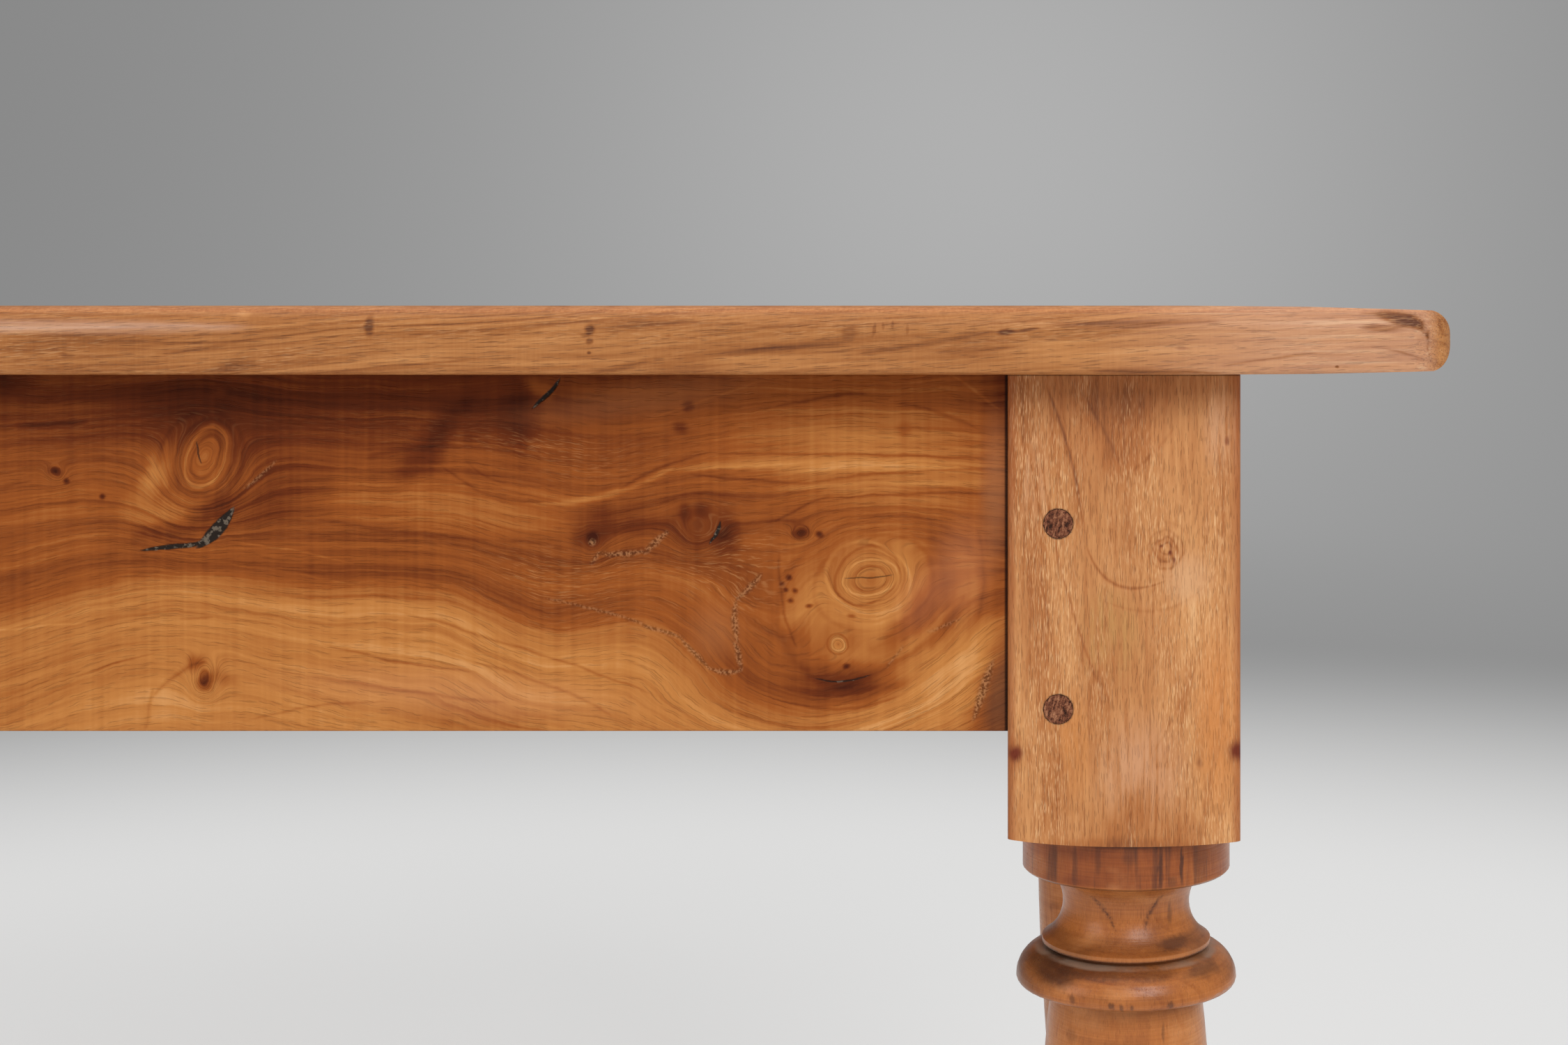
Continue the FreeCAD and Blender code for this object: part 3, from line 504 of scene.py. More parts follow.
apron_finish("apron_front", 0, long_apron | {
    # the height where red-brown heartwood gives way to pale sapwood
    "heart": 640,
    # x, height, half length, half height, tilt and rise of each place where the grain arches up
    "humps": [
        (460, 645, 95, 110, 0, 22), (548, 645, 62, 60, 0, 11), (603, 640, 46, 60, 0, -6),
        (710, 615, 85, 70, 0, -32), (660, 585, 130, 50, 0, -18), (620, 700, 60, 40, -20, -8),
    ],
    # x, height, half length, half height, tilt and number of rings of each knot
    "knots": [
        (470, 700, 20, 22, 20, 1.2), (470.5, 702, 7, 10, 20, 1.3), (731, 643, 32, 30, -30, 1.0),
        (728.1, 654.6, 12, 9.5, -8, 2.0), (715.4, 628.7, 2.4, 2.4, 0, 1.2),
        (661, 675, 11, 10, 0, 0.4), (620.6, 669, 5, 5, 0, 0.9), (470, 616, 4, 6, 0, 0.8),
        (701.8, 672, 3, 2.5, 0, 0.6), (412.6, 695.4, 3, 3, 0, 0.5),
    ],
    # x, height, half length, half height, tilt and tone of each broad dark or pale place
    "shades": [
        (391, 733, 20, 10, 0, -0.28), (465, 722, 44, 18, -8, -0.14), (494, 712, 24, 36, 0, -0.08),
        (471, 701.5, 15, 21, 20, 0.18), (451.5, 695, 8, 17, 28, 0.28),
        (453, 680, 27, 10, -8, 0.16), (474, 681, 18, 7, -30, -0.20),
        (456, 671.5, 28, 7, -4, -0.16), (497, 683, 32, 18, -20, -0.15),
        (565, 682, 84, 15, 4, 0.18), (762, 652, 14, 34, 8, -0.05), (735, 622, 40, 12, -30, -0.06),
        (558, 706, 32, 9, -52, -0.20), (576, 719, 20, 14, 0, -0.10), (592, 717, 12, 24, 0, -0.20),
        (598.5, 727, 6, 10, -40, 0.18), (632, 722, 42, 14, 0, 0.08), (725, 714, 115, 42, 0, 0.34),
        (745, 660, 90, 70, 0, 0.13), (572, 700, 20, 10, 0, 0.07), (621, 674, 13, 14, 0, -0.22),
        (636, 675.5, 24, 8, -5, -0.18), (661, 675, 22, 18, 0, -0.14), (673, 671, 8, 12, 0, -0.26),
        (655, 648, 36, 18, 0, 0.08), (733, 640, 64, 58, -30, 0.14), (700, 650, 17, 24, 0, 0.12),
        (728, 654.6, 9, 7, -8, -0.14), (728, 654.6, 30, 24, -8, 0.10),
        (753, 656, 16, 30, 0, -0.14), (746, 640, 24, 9, -45, -0.22), (703, 625, 15, 17, 30, -0.16),
        (718, 613, 30, 12, 0, -0.32), (757, 622, 28, 18, -30, 0.10), (719, 632, 12, 11, 0, -0.16),
        (777, 606, 15, 36, 12, -0.30), (575, 601, 46, 9, 7, -0.14), (455, 606, 26, 16, 0, 0.08),
        (425, 728, 40, 14, 0, -0.06), (420, 706, 34, 16, 0, -0.06), (690, 626, 16, 28, 0, -0.05),
    ],
    # the same of each small spot
    "dots": [
        (412.5, 695.6, 3.6, 2.8, 20, -0.5), (416.3, 691.8, 2.0, 1.8, 0, -0.4),
        (430.7, 685.9, 2, 1.8, 0, -0.4), (470.3, 614.5, 4.8, 5.6, 0, -0.55),
        (467, 621.5, 6, 5, -20, -0.25), (477, 616, 11, 5, 20, -0.14),
        (657.9, 721.3, 3.8, 3, 0, -0.25), (654.8, 713, 5, 4, 0, -0.22),
        (741.3, 711.6, 5, 5, 0, -0.12), (620.6, 670, 4, 4, 0, -0.32),
        (656.6, 680, 4, 5.4, 0, -0.16), (663, 681, 4.5, 5.4, 0, -0.16),
        (715.4, 628.7, 2.6, 2.6, 0, -0.14), (701.8, 672.1, 4.8, 3.4, -10, -0.44),
        (708.5, 671.3, 2.4, 2.2, 0, -0.4), (696.5, 654.6, 1.9, 1.7, 0, -0.4),
        (693.9, 652.4, 1.6, 1.4, 0, -0.3), (695, 650.2, 1.6, 1.4, 0, -0.34),
        (698.7, 649.8, 1.7, 1.5, 0, -0.36), (697.2, 646, 2.0, 1.5, 0, -0.34),
        (704.4, 643.9, 2.2, 1.5, 0, -0.42), (718.8, 620.3, 2.2, 1.6, 0, -0.4),
        (721, 639.5, 3.0, 1.2, 10, -0.25), (476, 727, 4, 3, 0, 0.12),
    ],
    # x, height, half length, half height, tilt, width as a share and tone of each drawn ring
    "hoops": [
        (728.3, 654.9, 10.6, 7.0, -10, 0.12, 0.13), (726.8, 655.4, 13.2, 10.6, -35, 0.09, -0.11),
        (727.4, 654.4, 17.0, 13.6, 20, 0.09, 0.11), (729.5, 652.6, 24, 18, -16, 0.08, -0.06),
        (728.3, 654.6, 7.4, 4.4, -10, 0.24, -0.06), (715.4, 628.7, 2.5, 2.3, 0, 0.28, 0.16),
        (715.2, 628.8, 4.1, 3.9, 0, 0.16, -0.10),
        (470.8, 701.5, 5, 8.5, 20, 0.20, -0.14), (470.8, 701.5, 7.4, 12, 20, 0.13, 0.16),
        (470.4, 701.5, 11, 15, 24, 0.12, -0.10), (469.0, 700.5, 16, 19, 26, 0.10, -0.06),
        (732, 645, 41, 33, -20, 0.08, -0.07),
    ],
    # x, height, half length, tilt, bend, half width, softness and tone of each line
    "lines": [
        (411, 714, 15, -5, 0, 0.8, 1.4, -0.22), (395, 690, 9, -15, 0, 0.5, 1.0, -0.10),
        (405, 635.5, 22, -5, 0, 0.4, 0.6, 0.12), (503, 665.5, 27, 9, -1.5, 0.3, 0.5, 0.12),
        (497, 657.5, 34, 9, -1, 0.3, 0.6, 0.10), (467, 639, 7, -4, 0, 0.4, 0.6, -0.14),
        (435, 621, 18, -17, -0.5, 0.3, 0.5, -0.18), (459, 617, 13, -35, -2.5, 0.4, 1.3, -0.20),
        (448.6, 603.5, 9, -78, 0, 0.4, 1.3, -0.18), (556, 671.6, 46, 6, 1.2, 0.5, 1.6, -0.14),
        (757, 657, 17, 80, -2.5, 3.0, 5.0, -0.12), (772, 656, 19, 88, -2.5, 0.4, 1.4, -0.14),
        (759, 637, 14, -56, 1.5, 1.0, 2.4, -0.16), (741.5, 634.5, 18, -35, 1.5, 3.5, 5.0, -0.14),
        (549, 704.5, 18, -9, -0.6, 0.5, 2.0, -0.12), (584, 686, 26, 16, 6, 0.5, 1.1, -0.16),
        (588, 691, 20, 14, 5, 0.4, 0.9, -0.10), (626, 686.5, 31, -15, 5, 1.4, 1.5, 0.19),
        (648, 698, 20, -22, -2.5, 0.5, 1.0, -0.18), (722, 702.3, 58, 1, -0.8, 0.5, 0.8, -0.20),
        (715, 705.5, 62, 0, 0, 1.5, 2.0, -0.07), (712, 698, 68, 0, -1.5, 2.0, 1.5, 0.17),
        (682, 692.3, 26, 4, 0.8, 0.5, 0.9, -0.20), (740, 695.5, 40, -4, -1.5, 0.5, 0.9, -0.20),
        (735, 690.5, 46, -2, 0, 1.5, 1.5, 0.14), (702, 682, 13, -24, -1, 0.4, 0.8, -0.20),
        (745, 687, 35, -1.5, -0.5, 0.4, 0.8, -0.20), (743, 678.5, 32, 5, -4, 0.4, 1.0, -0.12),
        (740, 672, 28, 8, -5, 0.4, 0.8, -0.08), (664, 723.5, 27, -19, 0, 0.3, 0.7, 0.12),
        (709, 724.2, 20, -9, -1, 0.5, 1.0, -0.20), (754, 718.5, 18, 18, -1, 0.6, 1.0, -0.16),
        (769, 727, 14, 34, -0.5, 0.4, 0.8, 0.12), (596, 626.5, 56, 18, -1.5, 0.4, 0.8, -0.20),
        (545, 622.3, 32, 11, 1.5, 0.5, 0.9, -0.20), (602, 613.5, 32, 21, -3, 0.5, 0.9, -0.18),
        (549, 610.5, 42, 8, 1.5, 0.5, 0.9, -0.22), (515, 605.3, 30, -7, -3, 0.4, 0.8, -0.16),
        (694, 645, 20, 80, 3, 0.4, 0.9, -0.16), (713, 603.5, 28, 0, 6, 0.4, 0.7, -0.14),
        (712, 607.5, 22, 0, 5, 0.4, 0.6, 0.10),
    ],
    # x, height, half length, tilt, bend and half width of each split
    "splits": [
        (475.4, 673.0, 11.8, -46, 2.0, 2.5), (459.5, 666.9, 15.5, -8, 0.6, 1.0),
        (603, 725.7, 9, -47, 0.6, 0.9), (668.2, 672, 5.5, -68, 0.5, 0.7),
        (717.5, 614.5, 12, -3, 2.2, 0.3), (467.8, 703, 5, 75, 0.8, 0.2),
        (727.5, 654.8, 10, -4, 0.4, 0.1),
    ],
    # the same of each gritty edge of a bark pocket
    "pockets": [
        (681.5, 651, 8, -42, 0.5, 1.0), (676, 638, 9.5, 88, 0.5, 1.1), (677, 624.5, 6, 74, 0, 1.1),
        (672, 618, 7.5, 3, 2, 1.0), (660.5, 625, 9, 47, 0, 0.9), (648, 633.9, 9, 17, -0.5, 0.7),
        (624, 641.5, 24, 15, -1, 0.3), (632, 663.6, 10, -3, 1, 1.0), (645, 668, 7, -45, 0, 1.1),
        (621.5, 662, 3.5, -50, 0, 0.6), (772, 611, 14, -72, 0, 1.6), (492, 694.2, 9, -42, 0.8, 0.4),
        (620.6, 668.4, 1.8, 0, 0, 1.2), (757, 636, 8, -20, 0, 0.2), (738, 624, 6, -52, 0, 0.2),
    ],
    # x, height, half length, half height, tilt, share and tint of each place of another hue
    "hues": [
        (764, 658, 17, 28, 8, 0.36, paint(192, 122, 82)),
        (748, 646, 14, 22, 30, 0.3, paint(186, 112, 74)),
        (777, 690, 9, 40, 0, 0.45, paint(166, 110, 72)),
        (780, 610, 11, 34, 12, 0.6, paint(112, 72, 46)),
        (566, 610, 90, 14, 4, 0.3, paint(206, 142, 96)),
        (668, 634, 14, 16, 0, 0.35, paint(186, 118, 68)),
        (640, 724, 70, 10, -8, 0.25, paint(170, 110, 70)),
    ],
    # x, height, half length and half height of each place with curly grain
    "curls": [(610, 652, 80, 22), (672, 660, 30, 34), (715, 610, 40, 16), (600, 700, 50, 16)],
})
apron_finish("apron_rear", 180, long_apron | {
    "heart": 630,
    "humps": [(0, 660, 260, 90, 0, 24), (-520, 640, 160, 90, 0, -16)],
    "knots": [(-310, 668, 14, 11, 10, 2.0), (255, 640, 7, 6, 0, 1.4), (610, 690, 10, 9, -12, 1.8)],
    "shades": [
        (-310, 668, 30, 22, 10, -0.3), (260, 644, 30, 20, 0, -0.22), (610, 690, 26, 20, 0, -0.3),
        (-80, 712, 190, 30, -4, 0.12), (430, 640, 120, 24, 6, 0.08),
    ],
    "dots": [(255, 640, 5, 5, 0, -0.4), (268, 646, 2, 2, 0, -0.5), (-290, 671, 2, 2, 0, -0.5)],
    "hoops": [(-310, 668, 16, 12, 10, 0.1, -0.14), (610, 690, 12, 10, -12, 0.1, -0.12)],
    "lines": [(-200, 690, 90, -4, -3, 0.5, 1, -0.16), (120, 655, 110, 3, 2, 0.5, 1, -0.16)],
    "splits": [(-302, 668, 7, -12, 0.8, 0.3)],
    "pockets": [(262, 652, 16, 18, 2, 0.4)],
    "hues": [],
    "curls": [(-310, 668, 60, 40)],
})
apron_finish("apron_left", -90, end_apron | {
    "heart": 652,
    "humps": [(40, 650, 150, 90, 0, 20)],
    "knots": [(-84, 660, 9, 8, 0, 1.6), (150, 700, 6, 5, 0, 1.2)],
    "shades": [(-84, 660, 24, 20, 0, -0.28), (150, 700, 16, 14, 0, -0.25)],
    "dots": [(-84, 660, 4, 4, 0, -0.4), (150, 700, 3, 3, 0, -0.4)],
    "hoops": [(-84, 660, 12, 10, 0, 0.1, -0.12)],
    "lines": [(40, 690, 90, -3, -3, 0.5, 1, -0.16)],
    "splits": [(-80, 661, 5, 10, 0.5, 0.2)],
    "pockets": [(-60, 646, 14, 10, 2, 0.3)],
    "hues": [],
    "curls": [(-84, 660, 40, 30)],
})
apron_finish("apron_right", 90, end_apron | {
    "heart": 640,
    "humps": [(-60, 660, 140, 90, 0, 22)],
    "knots": [(42, 640, 11, 9, 12, 1.8), (-170, 682, 5, 5, 0, 1.2)],
    "shades": [(42, 640, 28, 22, 12, -0.28), (-170, 682, 14, 12, 0, -0.25)],
    "dots": [(42, 640, 4, 4, 0, -0.4), (-170, 682, 3, 3, 0, -0.4)],
    "hoops": [(42, 640, 14, 11, 12, 0.1, -0.14)],
    "lines": [(-60, 696, 90, 3, -3, 0.5, 1, -0.16)],
    "splits": [(46, 640, 6, -20, 0.5, 0.25)],
    "pockets": [(30, 622, 20, 8, 3, 0.3)],
    "hues": [],
    "curls": [(42, 640, 40, 30)],
})


# The pegs. Two to each tenon, whittled from dry split wood and driven through, then cut off
# nearly flush. What shows is their end grain, dark with old wax.
finish, place = new_finish("peg_wood")
fine = shaken(place, (600, 600, 600), (0.0010, 0.0010, 0.0010))
layer = cloud(laid(fine, (0, 0, 0), (0, 14, 0)), (1500, 500, 300), 1.0)
layer_side = cloud(laid(fine, (0, 0, 0), (14, 0, 0)), (500, 1500, 300), 1.0)
dust = cloud(place, (2200, 2200, 2200), 2.0)
tone = 0.5 + (layer + layer_side - 1.0) * 1.0 + (dust - 0.5) * 0.7
peg_tints = [paint(52, 26, 15), paint(116, 66, 44), paint(176, 122, 88)]
colour = tone.node("ValToRGB", {"stops": list(zip((0.2, 0.5, 0.95), peg_tints))}, {"Fac": tone})
peg_finish = waxed(finish, colour, 0.6 + (0.5 - dust) * 0.2, tone, 0.0004, 0.15)
for corner in ("front_left", "front_right", "rear_left", "rear_right"):
    dress("pegs_" + corner, peg_finish)


# The cross bearers. Two plain planed battens housed in the long aprons under the top, unwaxed and
# grey with age, each screwed up into the boards from below with four countersunk screws.
dry_tints = [paint(104, 72, 44), paint(156, 116, 78), paint(188, 148, 106), paint(210, 174, 132)]


def dry_finish(name, pith, turn):
    """Planed wood that was never waxed, its grain along the turned X axis."""
    finish, place = new_finish(name + "_wood")
    trunk = laid(place, pith, turn)
    rings = rings_in(trunk, 0.004, 0.012)
    colour, relief, tone = grain(trunk, rings, dry_tints, (0.6, 0.5, 0.45, 0.35))
    soil = fade(cloud(place, (9, 9, 9), 3.0, 2.2), 0.5, 0.66)
    colour = blend(soil * 0.35, colour, paint(120, 98, 78))
    return waxed(finish, colour, 0.72 - soil * 0.1, relief, 0.00025)


finish, place = new_finish("screw_steel")
rust = fade(cloud(place, (420, 420, 420), 3.0), 0.48, 0.66)
marks = cloud(place, (2600, 400, 2600), 1.0)
colour = blend(rust, paint(128, 124, 118), paint(96, 62, 42))
bump = marks.node("Bump", None, {"Distance": 0.00008, "Height": marks - rust})
steel = {
    "Base Color": colour, "Roughness": 0.42 + rust * 0.35 + marks * 0.08,
    "Metallic": 1 - rust * 0.7, "Normal": bump,
}
surface = colour.node("BsdfPrincipled", None, steel)
surface.node("OutputMaterial", None, {"Surface": surface})
screw_steel = finish
bearer_place = 0.2975
for side, x in (("left", -bearer_place), ("right", bearer_place)):
    dress("cross_bearer_" + side, dry_finish("cross_bearer_" + side, (x, 0, 0.69), (1, 0, 90)))
    dress("bearer_screws_" + side, screw_steel)


# The top. Four long boards edge to edge with loose tongues between them, their arrises rounded
# over and worn by use. Each board has its own run of rings, so the seams show.
top_tints = [paint(98, 50, 20), paint(156, 94, 44), paint(192, 130, 74), paint(216, 164, 112)]
# distances from the table's middle over which the long edges, the sunned ends and the sawn butts
# begin, and the height of the upper arris
outer_edge = (0.345, 0.358)
sunned_end = (0.80, 0.90)
sawn_butt = (0.938, 0.946)
arris_height = 0.7585
# the pith's place, its turn and the wander of the rings
board_stock = {
    "top_board_front": ((0.55, -0.385, 0.64), (0, -3.2, 1.5), 0.050),
    "top_board_front_middle": ((-0.2, -0.10, 0.62), (0, 1.6, -1.0), 0.060),
    "top_board_rear_middle": ((0.3, 0.06, 0.66), (0, -1.2, 0.8), 0.045),
    "top_board_rear": ((-0.1, 0.29, 0.84), (0, 1.8, 1.2), 0.055),
}
# On the front board's edge, in millimetres. x, height, half length, half height, tilt and tone
edge_spots = [
    (543, 752.2, 2.6, 5.2, 0, -0.40), (495, 757.3, 4.5, 2.2, 0, 0.22),
    (492, 737, 12, 2.8, -8, -0.22), (625.5, 751, 2.8, 2.4, 10, -0.42),
    (625.5, 746.8, 2.0, 1.8, -20, -0.40), (625.5, 742.4, 1.2, 1.0, 0, -0.4),
    (731.8, 751, 1.0, 3.6, 8, -0.24), (735.2, 752.2, 0.8, 2.0, 0, -0.16),
    (738.8, 752.6, 0.9, 2.4, 0, -0.22), (744.2, 751, 0.9, 3.0, 8, -0.16),
    (722.6, 750, 5, 3.4, -20, -0.24), (781.3, 750.2, 4.6, 1.9, -5, -0.45),
    (789, 751, 6.0, 1.1, -8, -0.30), (921, 751.5, 12, 2.6, 4, -0.26), (430, 745, 60, 6, -4, -0.10),
    (660, 736.5, 22, 4.5, -8, -0.12), (600, 746, 60, 6, -3, 0.10), (830, 741, 60, 5, -3, 0.09),
    (700, 738, 60, 5, 0, 0.10), (905, 746, 34, 6, 0, 0.10), (932, 753.6, 8, 3, 10, -0.14),
    (930, 755, 12, 5, 10, -0.28), (770, 744, 24, 4, -8, -0.14), (905, 737, 1.2, 1.0, 0, -0.4),
    (645, 753, 30, 3, -4, -0.14), (560, 741, 40, 3, -4, 0.10), (520, 739, 30, 2.4, -5, -0.10),
    (795, 745, 30, 3, -5, 0.10), (812, 750, 30, 2.4, -4, -0.12), (945, 742, 4, 5, 0, 0.16),
]
# x, height, half length, tilt, bend, half width, softness and tone of its scratches and grain
edge_lines = [
    (431.6, 740, 27, -6, 0, 0.3, 1.0, -0.18), (479.6, 744, 21, -9.7, 0, 0.3, 1.0, -0.20),
    (524, 743, 24.5, -6, 0, 0.3, 1.0, -0.20), (544, 736.7, 43, -4.7, 0, 0.3, 1.1, -0.22),
    (560, 748.5, 38, -5, 0.4, 0.3, 1.1, -0.14), (642, 738, 17, -14, 0.4, 0.7, 1.5, -0.26),
    (688, 743.8, 36, -4, -0.8, 0.8, 1.6, -0.36), (752, 745.8, 28, -9, 1.0, 0.7, 1.5, -0.32),
    (606, 752, 22, -8, 0, 0.4, 1.3, -0.22), (645, 753.5, 24, 0, 0, 0.5, 1.3, -0.20),
    (690, 752.4, 28, 1, 0.3, 0.4, 1.2, -0.16), (830, 753.3, 36, -1, 0.4, 0.9, 1.8, -0.38),
    (838, 735.2, 28, 1, 0, 0.8, 1.6, -0.38), (889, 741.3, 31, -7, -0.8, 0.5, 1.2, -0.32),
    (928, 742.8, 12, 14, -0.8, 0.5, 1.2, -0.32), (924, 756.2, 12, 10, -0.6, 1.5, 2.0, -0.22),
    (936, 752.0, 6.4, 42, -0.6, 1.4, 2.0, -0.24), (939.6, 745, 7, 86, 0.6, 0.6, 1.4, -0.28),
    (945, 751, 4, 60, 0.6, 0.8, 1.4, -0.26), (943, 740, 5, 100, -0.4, 0.6, 1.2, -0.20),
    (470, 750, 60, -2, 0, 0.3, 1.1, -0.12), (800, 747, 46, -8, 0.6, 0.4, 1.2, -0.18),
    (880, 747.5, 50, -2, 0, 0.3, 1.1, -0.12), (860, 757.2, 70, 0.5, 0, 0.4, 1.2, -0.14),
    (580, 757.5, 90, 0, 0, 0.4, 1.2, -0.12), (450, 756.5, 70, 1, 0, 0.4, 1.2, -0.14),
]
# the same, without a tone, of the strip on its upper arris that is painted pale as a highlight
arris_highlight_strip = (426, 752.2, 78, 0.3, 0, 1.8, 2.4)
for name, (pith, turn, wander) in board_stock.items():
    finish, place = new_finish(name + "_wood")
    trunk = laid(place, pith, turn)
    rings = rings_in(shaken(trunk, (24, 80, 80), (0, 0.003, 0.003)), 0.0032, wander)
    mark = fade(cloud(place, (40, 60, 130), 2.0, 8.0), 0.70, 0.76)
    outer = fade(abs(axis(place, 1)), *outer_edge)
    sunned = fade(abs(axis(place, 0)), *sunned_end) * outer
    bleached = fade(cloud(place, (6, 9, 9), 1.0, 2.0), 0.45, 0.65)
    butt = fade(abs(axis(place, 0)), *sawn_butt)
    swirl = cloud(place, (60, 60, 160), 3.0, 5.0)
    arris = fade(abs(axis(place, 2) - arris_height), 0.0016, 0.0004)
    ticks = cloud(place, (900, 900, 60), 1.0, 3.0)
    streaks = cloud(place, (16, 700, 700), 4.0, 6.0)
    paler = sunned * (1 - butt)
    extra = sunned * 0.06 + bleached * 0.06 - mark * 0.3 - 0.06
    extra = extra + butt * (0.05 - (swirl - 0.5) * 0.8)
    extra = extra - fade(axis(place, 0), 0.66, 0.46) * 0.04 + (ticks - 0.5) * (arris * 0.5 + 0.12)
    if name == "top_board_front":
        flat = in_millimetres(place)
        near = shaken(flat, (0.09, 0.05, 0.35), (2.0, 0, 1.2))
        across, up = axis(near, 0), axis(near, 2)
        drawn = None
        for *spot, amount in edge_spots:
            drawn = both(drawn, fade(ball(near, *spot), 0.0, 0.7) * amount)
        for *line, amount in edge_lines:
            drawn = stroke(across, up, *line).times(amount, drawn)
        extra = extra + drawn * outer
        paler = paler * fade(drawn, -0.36, -0.08)
    colour, relief, tone = grain(
        trunk, rings, top_tints, (0.34, 0.44, 0.56, 0.11), 0.42, 0.42, extra, 1.2
    )
    colour = blend(arris * 0.35, colour, paint(196, 116, 52))
    colour = blend(paler * 0.36, colour, paint(214, 168, 142))
    colour = blend(fade(streaks, 0.52, 0.72) * paler * 0.36, colour, paint(226, 190, 152))
    colour = blend(fade(streaks, 0.46, 0.28) * paler * 0.45, colour, paint(150, 92, 54))
    if name == "top_board_front":
        # a painted highlight along the upper arris at the left
        arris_highlight = stroke(across, up, *arris_highlight_strip) * (0.4 + fade(streaks, 0.4, 0.6) * 0.25)
        colour = blend(arris_highlight, colour, paint(212, 174, 152))
    rough = 0.44 + (0.5 - tone) * 0.12
    dress(name, waxed(finish, colour, rough, relief - mark * 0.8, 0.00016, 0.3))
# where each seam and its tongue lie across the table
for name, y in (("front", -0.1776), ("middle", 0.0), ("rear", 0.1702)):
    dress("top_tongue_" + name, dry_finish("top_tongue_" + name, (0, y + 0.03, 0.70), (0, 0, 0)))


# The buttons. Short blocks whose lips sit in slots in the aprons and hold the top down, free to
# slide as it swells and shrinks. Each has one screw up into the top.
for side, turn in (("front", 90), ("rear", 90), ("left", 0), ("right", 0)):
    dress("top_buttons_" + side, dry_finish("top_buttons_" + side, (0.1, 0.05, 0.7), (0, 0, turn)))
dress("button_screws", screw_steel)


# The floor and backdrop. One sweep of pale paper: flat round the table, then curving up far
# behind it into shade, with a soft pool of light on it at the back.
floor_reach = 6.5
floor_sides = 96
floor_level = -0.0004
sweep_radius = 2.5
sweep_steps = 12
wall_height = 5.0
bpy.ops.object.select_all(action="DESELECT")
bpy.ops.mesh.primitive_circle_add(
    vertices=floor_sides, radius=floor_reach, fill_type="NGON", location=(0, 0, floor_level)
)
floor = bpy.context.object
floor.name = "paper_floor"
bpy.ops.object.transform_apply()
bpy.ops.object.select_all(action="DESELECT")
bpy.ops.mesh.primitive_circle_add(
    vertices=floor_sides, radius=floor_reach, location=(0, 0, floor_level)
)
wall = bpy.context.object
wall.name = "paper_backdrop"
bpy.ops.object.mode_set(mode="EDIT")
bpy.ops.mesh.select_all(action="SELECT")
reach, rise = floor_reach, 0.0
for step in range(1, sweep_steps + 2):
    angle = min(step, sweep_steps) / sweep_steps * pi / 2
    new_reach = floor_reach + sweep_radius * sin(angle)
    new_rise = sweep_radius * (1 - cos(angle)) + (wall_height if step > sweep_steps else 0.0)
    bpy.ops.mesh.extrude_edges_move(
        TRANSFORM_OT_translate={"value": (0, 0, new_rise - rise)}
    )
    grow = new_reach / reach
    bpy.ops.transform.resize(value=(grow, grow, 1), center_override=(0, 0, 0))
    reach, rise = new_reach, new_rise
bpy.ops.mesh.select_all(action="SELECT")
bpy.ops.mesh.normals_make_consistent(inside=True)
bpy.ops.object.mode_set(mode="OBJECT")
bpy.ops.object.transform_apply()
bpy.ops.object.shade_smooth()
# the wall is only seen, and takes no part in the light on the table
wall.visible_diffuse = False
wall.visible_shadow = False

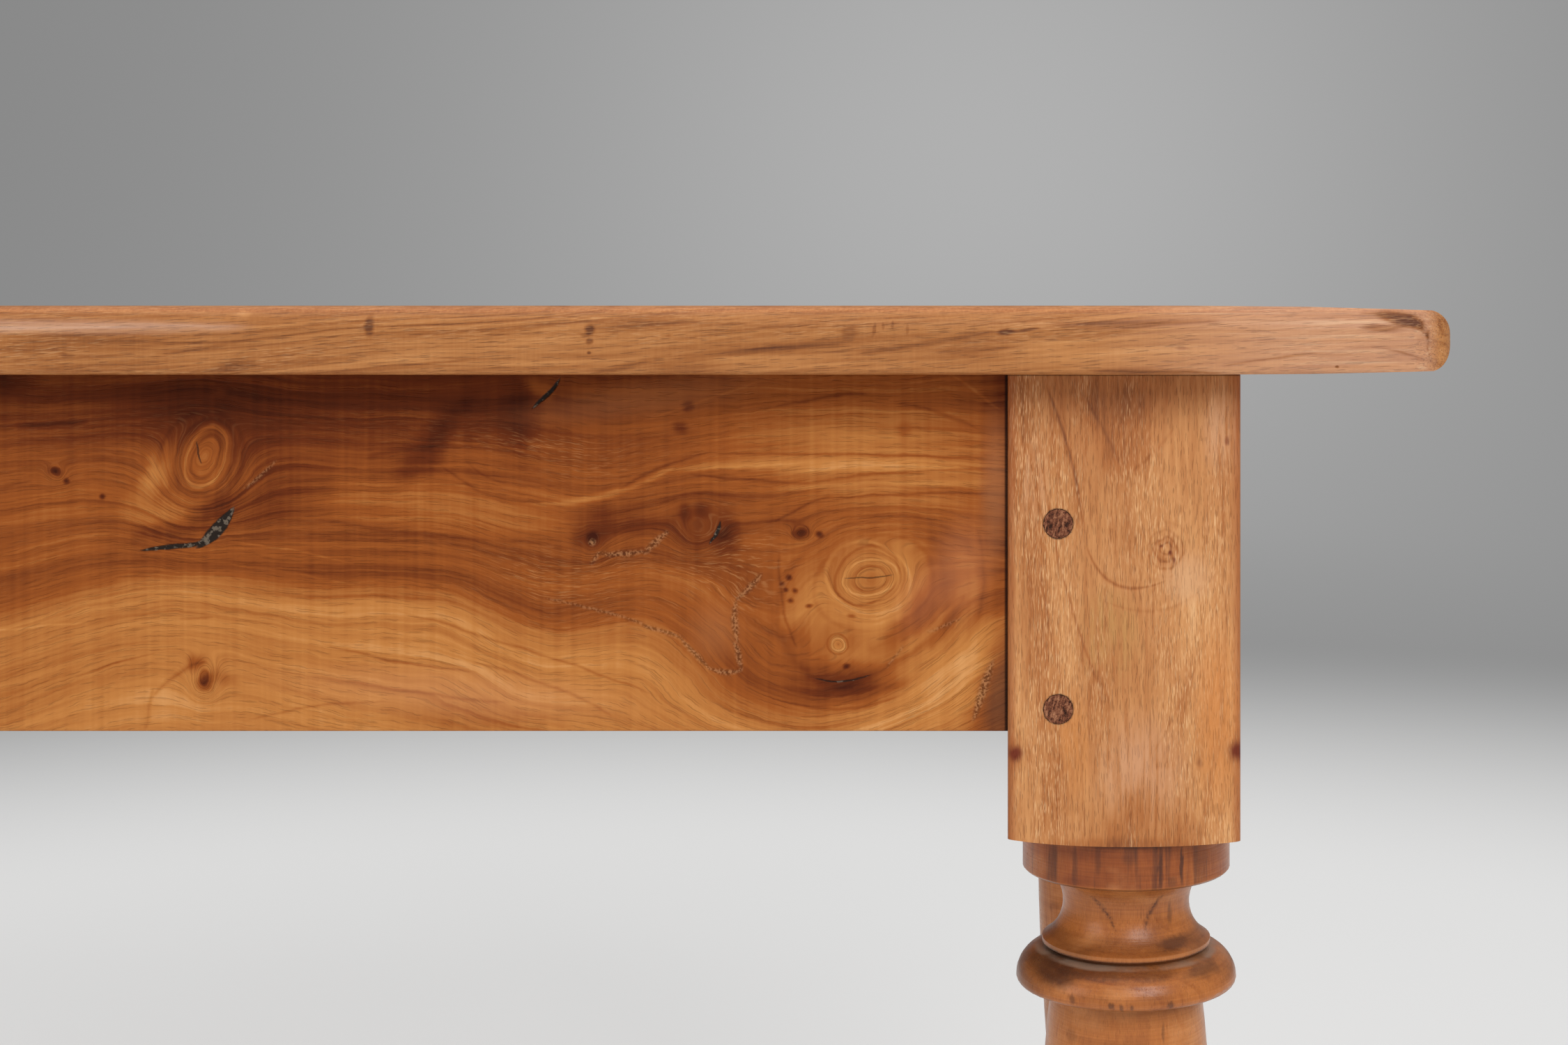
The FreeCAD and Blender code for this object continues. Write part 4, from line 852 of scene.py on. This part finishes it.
wall_grey = (0.205, 0.205, 0.205, 1)
pool_grey = (0.435, 0.435, 0.435, 1)
floor_white = (0.76, 0.76, 0.755, 1)
sheet_white = (0.90, 0.90, 0.895, 1)
pool_middle = (0.6, 8.5, 1.5)
pool_size = (3.3, 6.0, 3.3)
paper, place = new_finish("pale_paper")
ground = place.node("VectorMath", {"operation": "MULTIPLY"}, {0: place, 1: (1, 1, 0)})
pool = length(laid(place, pool_middle, (0, 0, 0), pool_size))
glow = 1 / (1 + pool * pool) ** 1.6
shade = blend(glow, wall_grey, pool_grey)
far = fade(length(laid(ground, (0.4, 0, 0))), 1.87, 4.0)
shade = blend(2 * far / (1 + far), floor_white, shade)
backdrop = shade.node("Emission", None, {"Color": shade, "Strength": 1.0})
sheet = shade.node("BsdfDiffuse", None, {"Color": sheet_white, "Roughness": 0.5})
# where it is seen, the paper gives half of its own even shade near the table, which keeps the
# shadow, and all of it far off
ray = shade.node("LightPath", None, None, "Is Camera Ray")
gloss = shade.node("LightPath", None, None, "Is Glossy Ray")
seen = most(ray, gloss) * (0.5 + 0.5 * far)
mixed = seen.node("MixShader", None, {0: seen, 1: sheet, 2: backdrop})
mixed.node("OutputMaterial", None, {"Surface": mixed})
for piece in (floor, wall):
    piece.data.materials.append(paper)


# The light. A soft lamp high in front and to the right, a weaker one to the left, one over the
# table, and an even pale room all round.
# name, place, the point it shines at, size in metres and power in watts
lamps = [
    ("front", (1.9, -2.9, 2.4), (0.75, -0.3, 0.6), 1.6, 58),
    ("left", (-2.4, -2.3, 1.9), (0.2, -0.2, 0.6), 1.8, 22),
    ("over", (0.3, 0.2, 3.4), (0.3, 0.0, 0.7), 3.0, 34),
]
for name, spot, aim, size, power in lamps:
    lamp = bpy.data.lights.new("lamp_" + name, "AREA")
    lamp.size, lamp.energy = size, power
    holder = bpy.data.objects.new("lamp_" + name, lamp)
    bpy.context.collection.objects.link(holder)
    holder.location = spot
    away = holder.location - type(holder.location)(aim)
    holder.rotation_euler = away.to_track_quat("Z", "Y").to_euler()
room = bpy.data.worlds.new("room")
bpy.context.scene.world = room
room.use_nodes = True
room.node_tree.nodes["Background"].inputs["Color"].default_value = (1.0, 1.0, 1.0, 1)
room.node_tree.nodes["Background"].inputs["Strength"].default_value = 0.45


# The camera. Level with the top, near the right-hand end of the long side, looking straight at it.
eye = bpy.data.cameras.new("eye")
eye.lens, eye.sensor_width = 50, 36
eye.shift_x, eye.shift_y = -0.16, -0.1333
eye.clip_end = 60
stand = bpy.data.objects.new("eye", eye)
bpy.context.collection.objects.link(stand)
stand.location = (0.792, -1.185, 0.757)
stand.rotation_euler = (radians(90), 0, 0)
bpy.context.scene.camera = stand
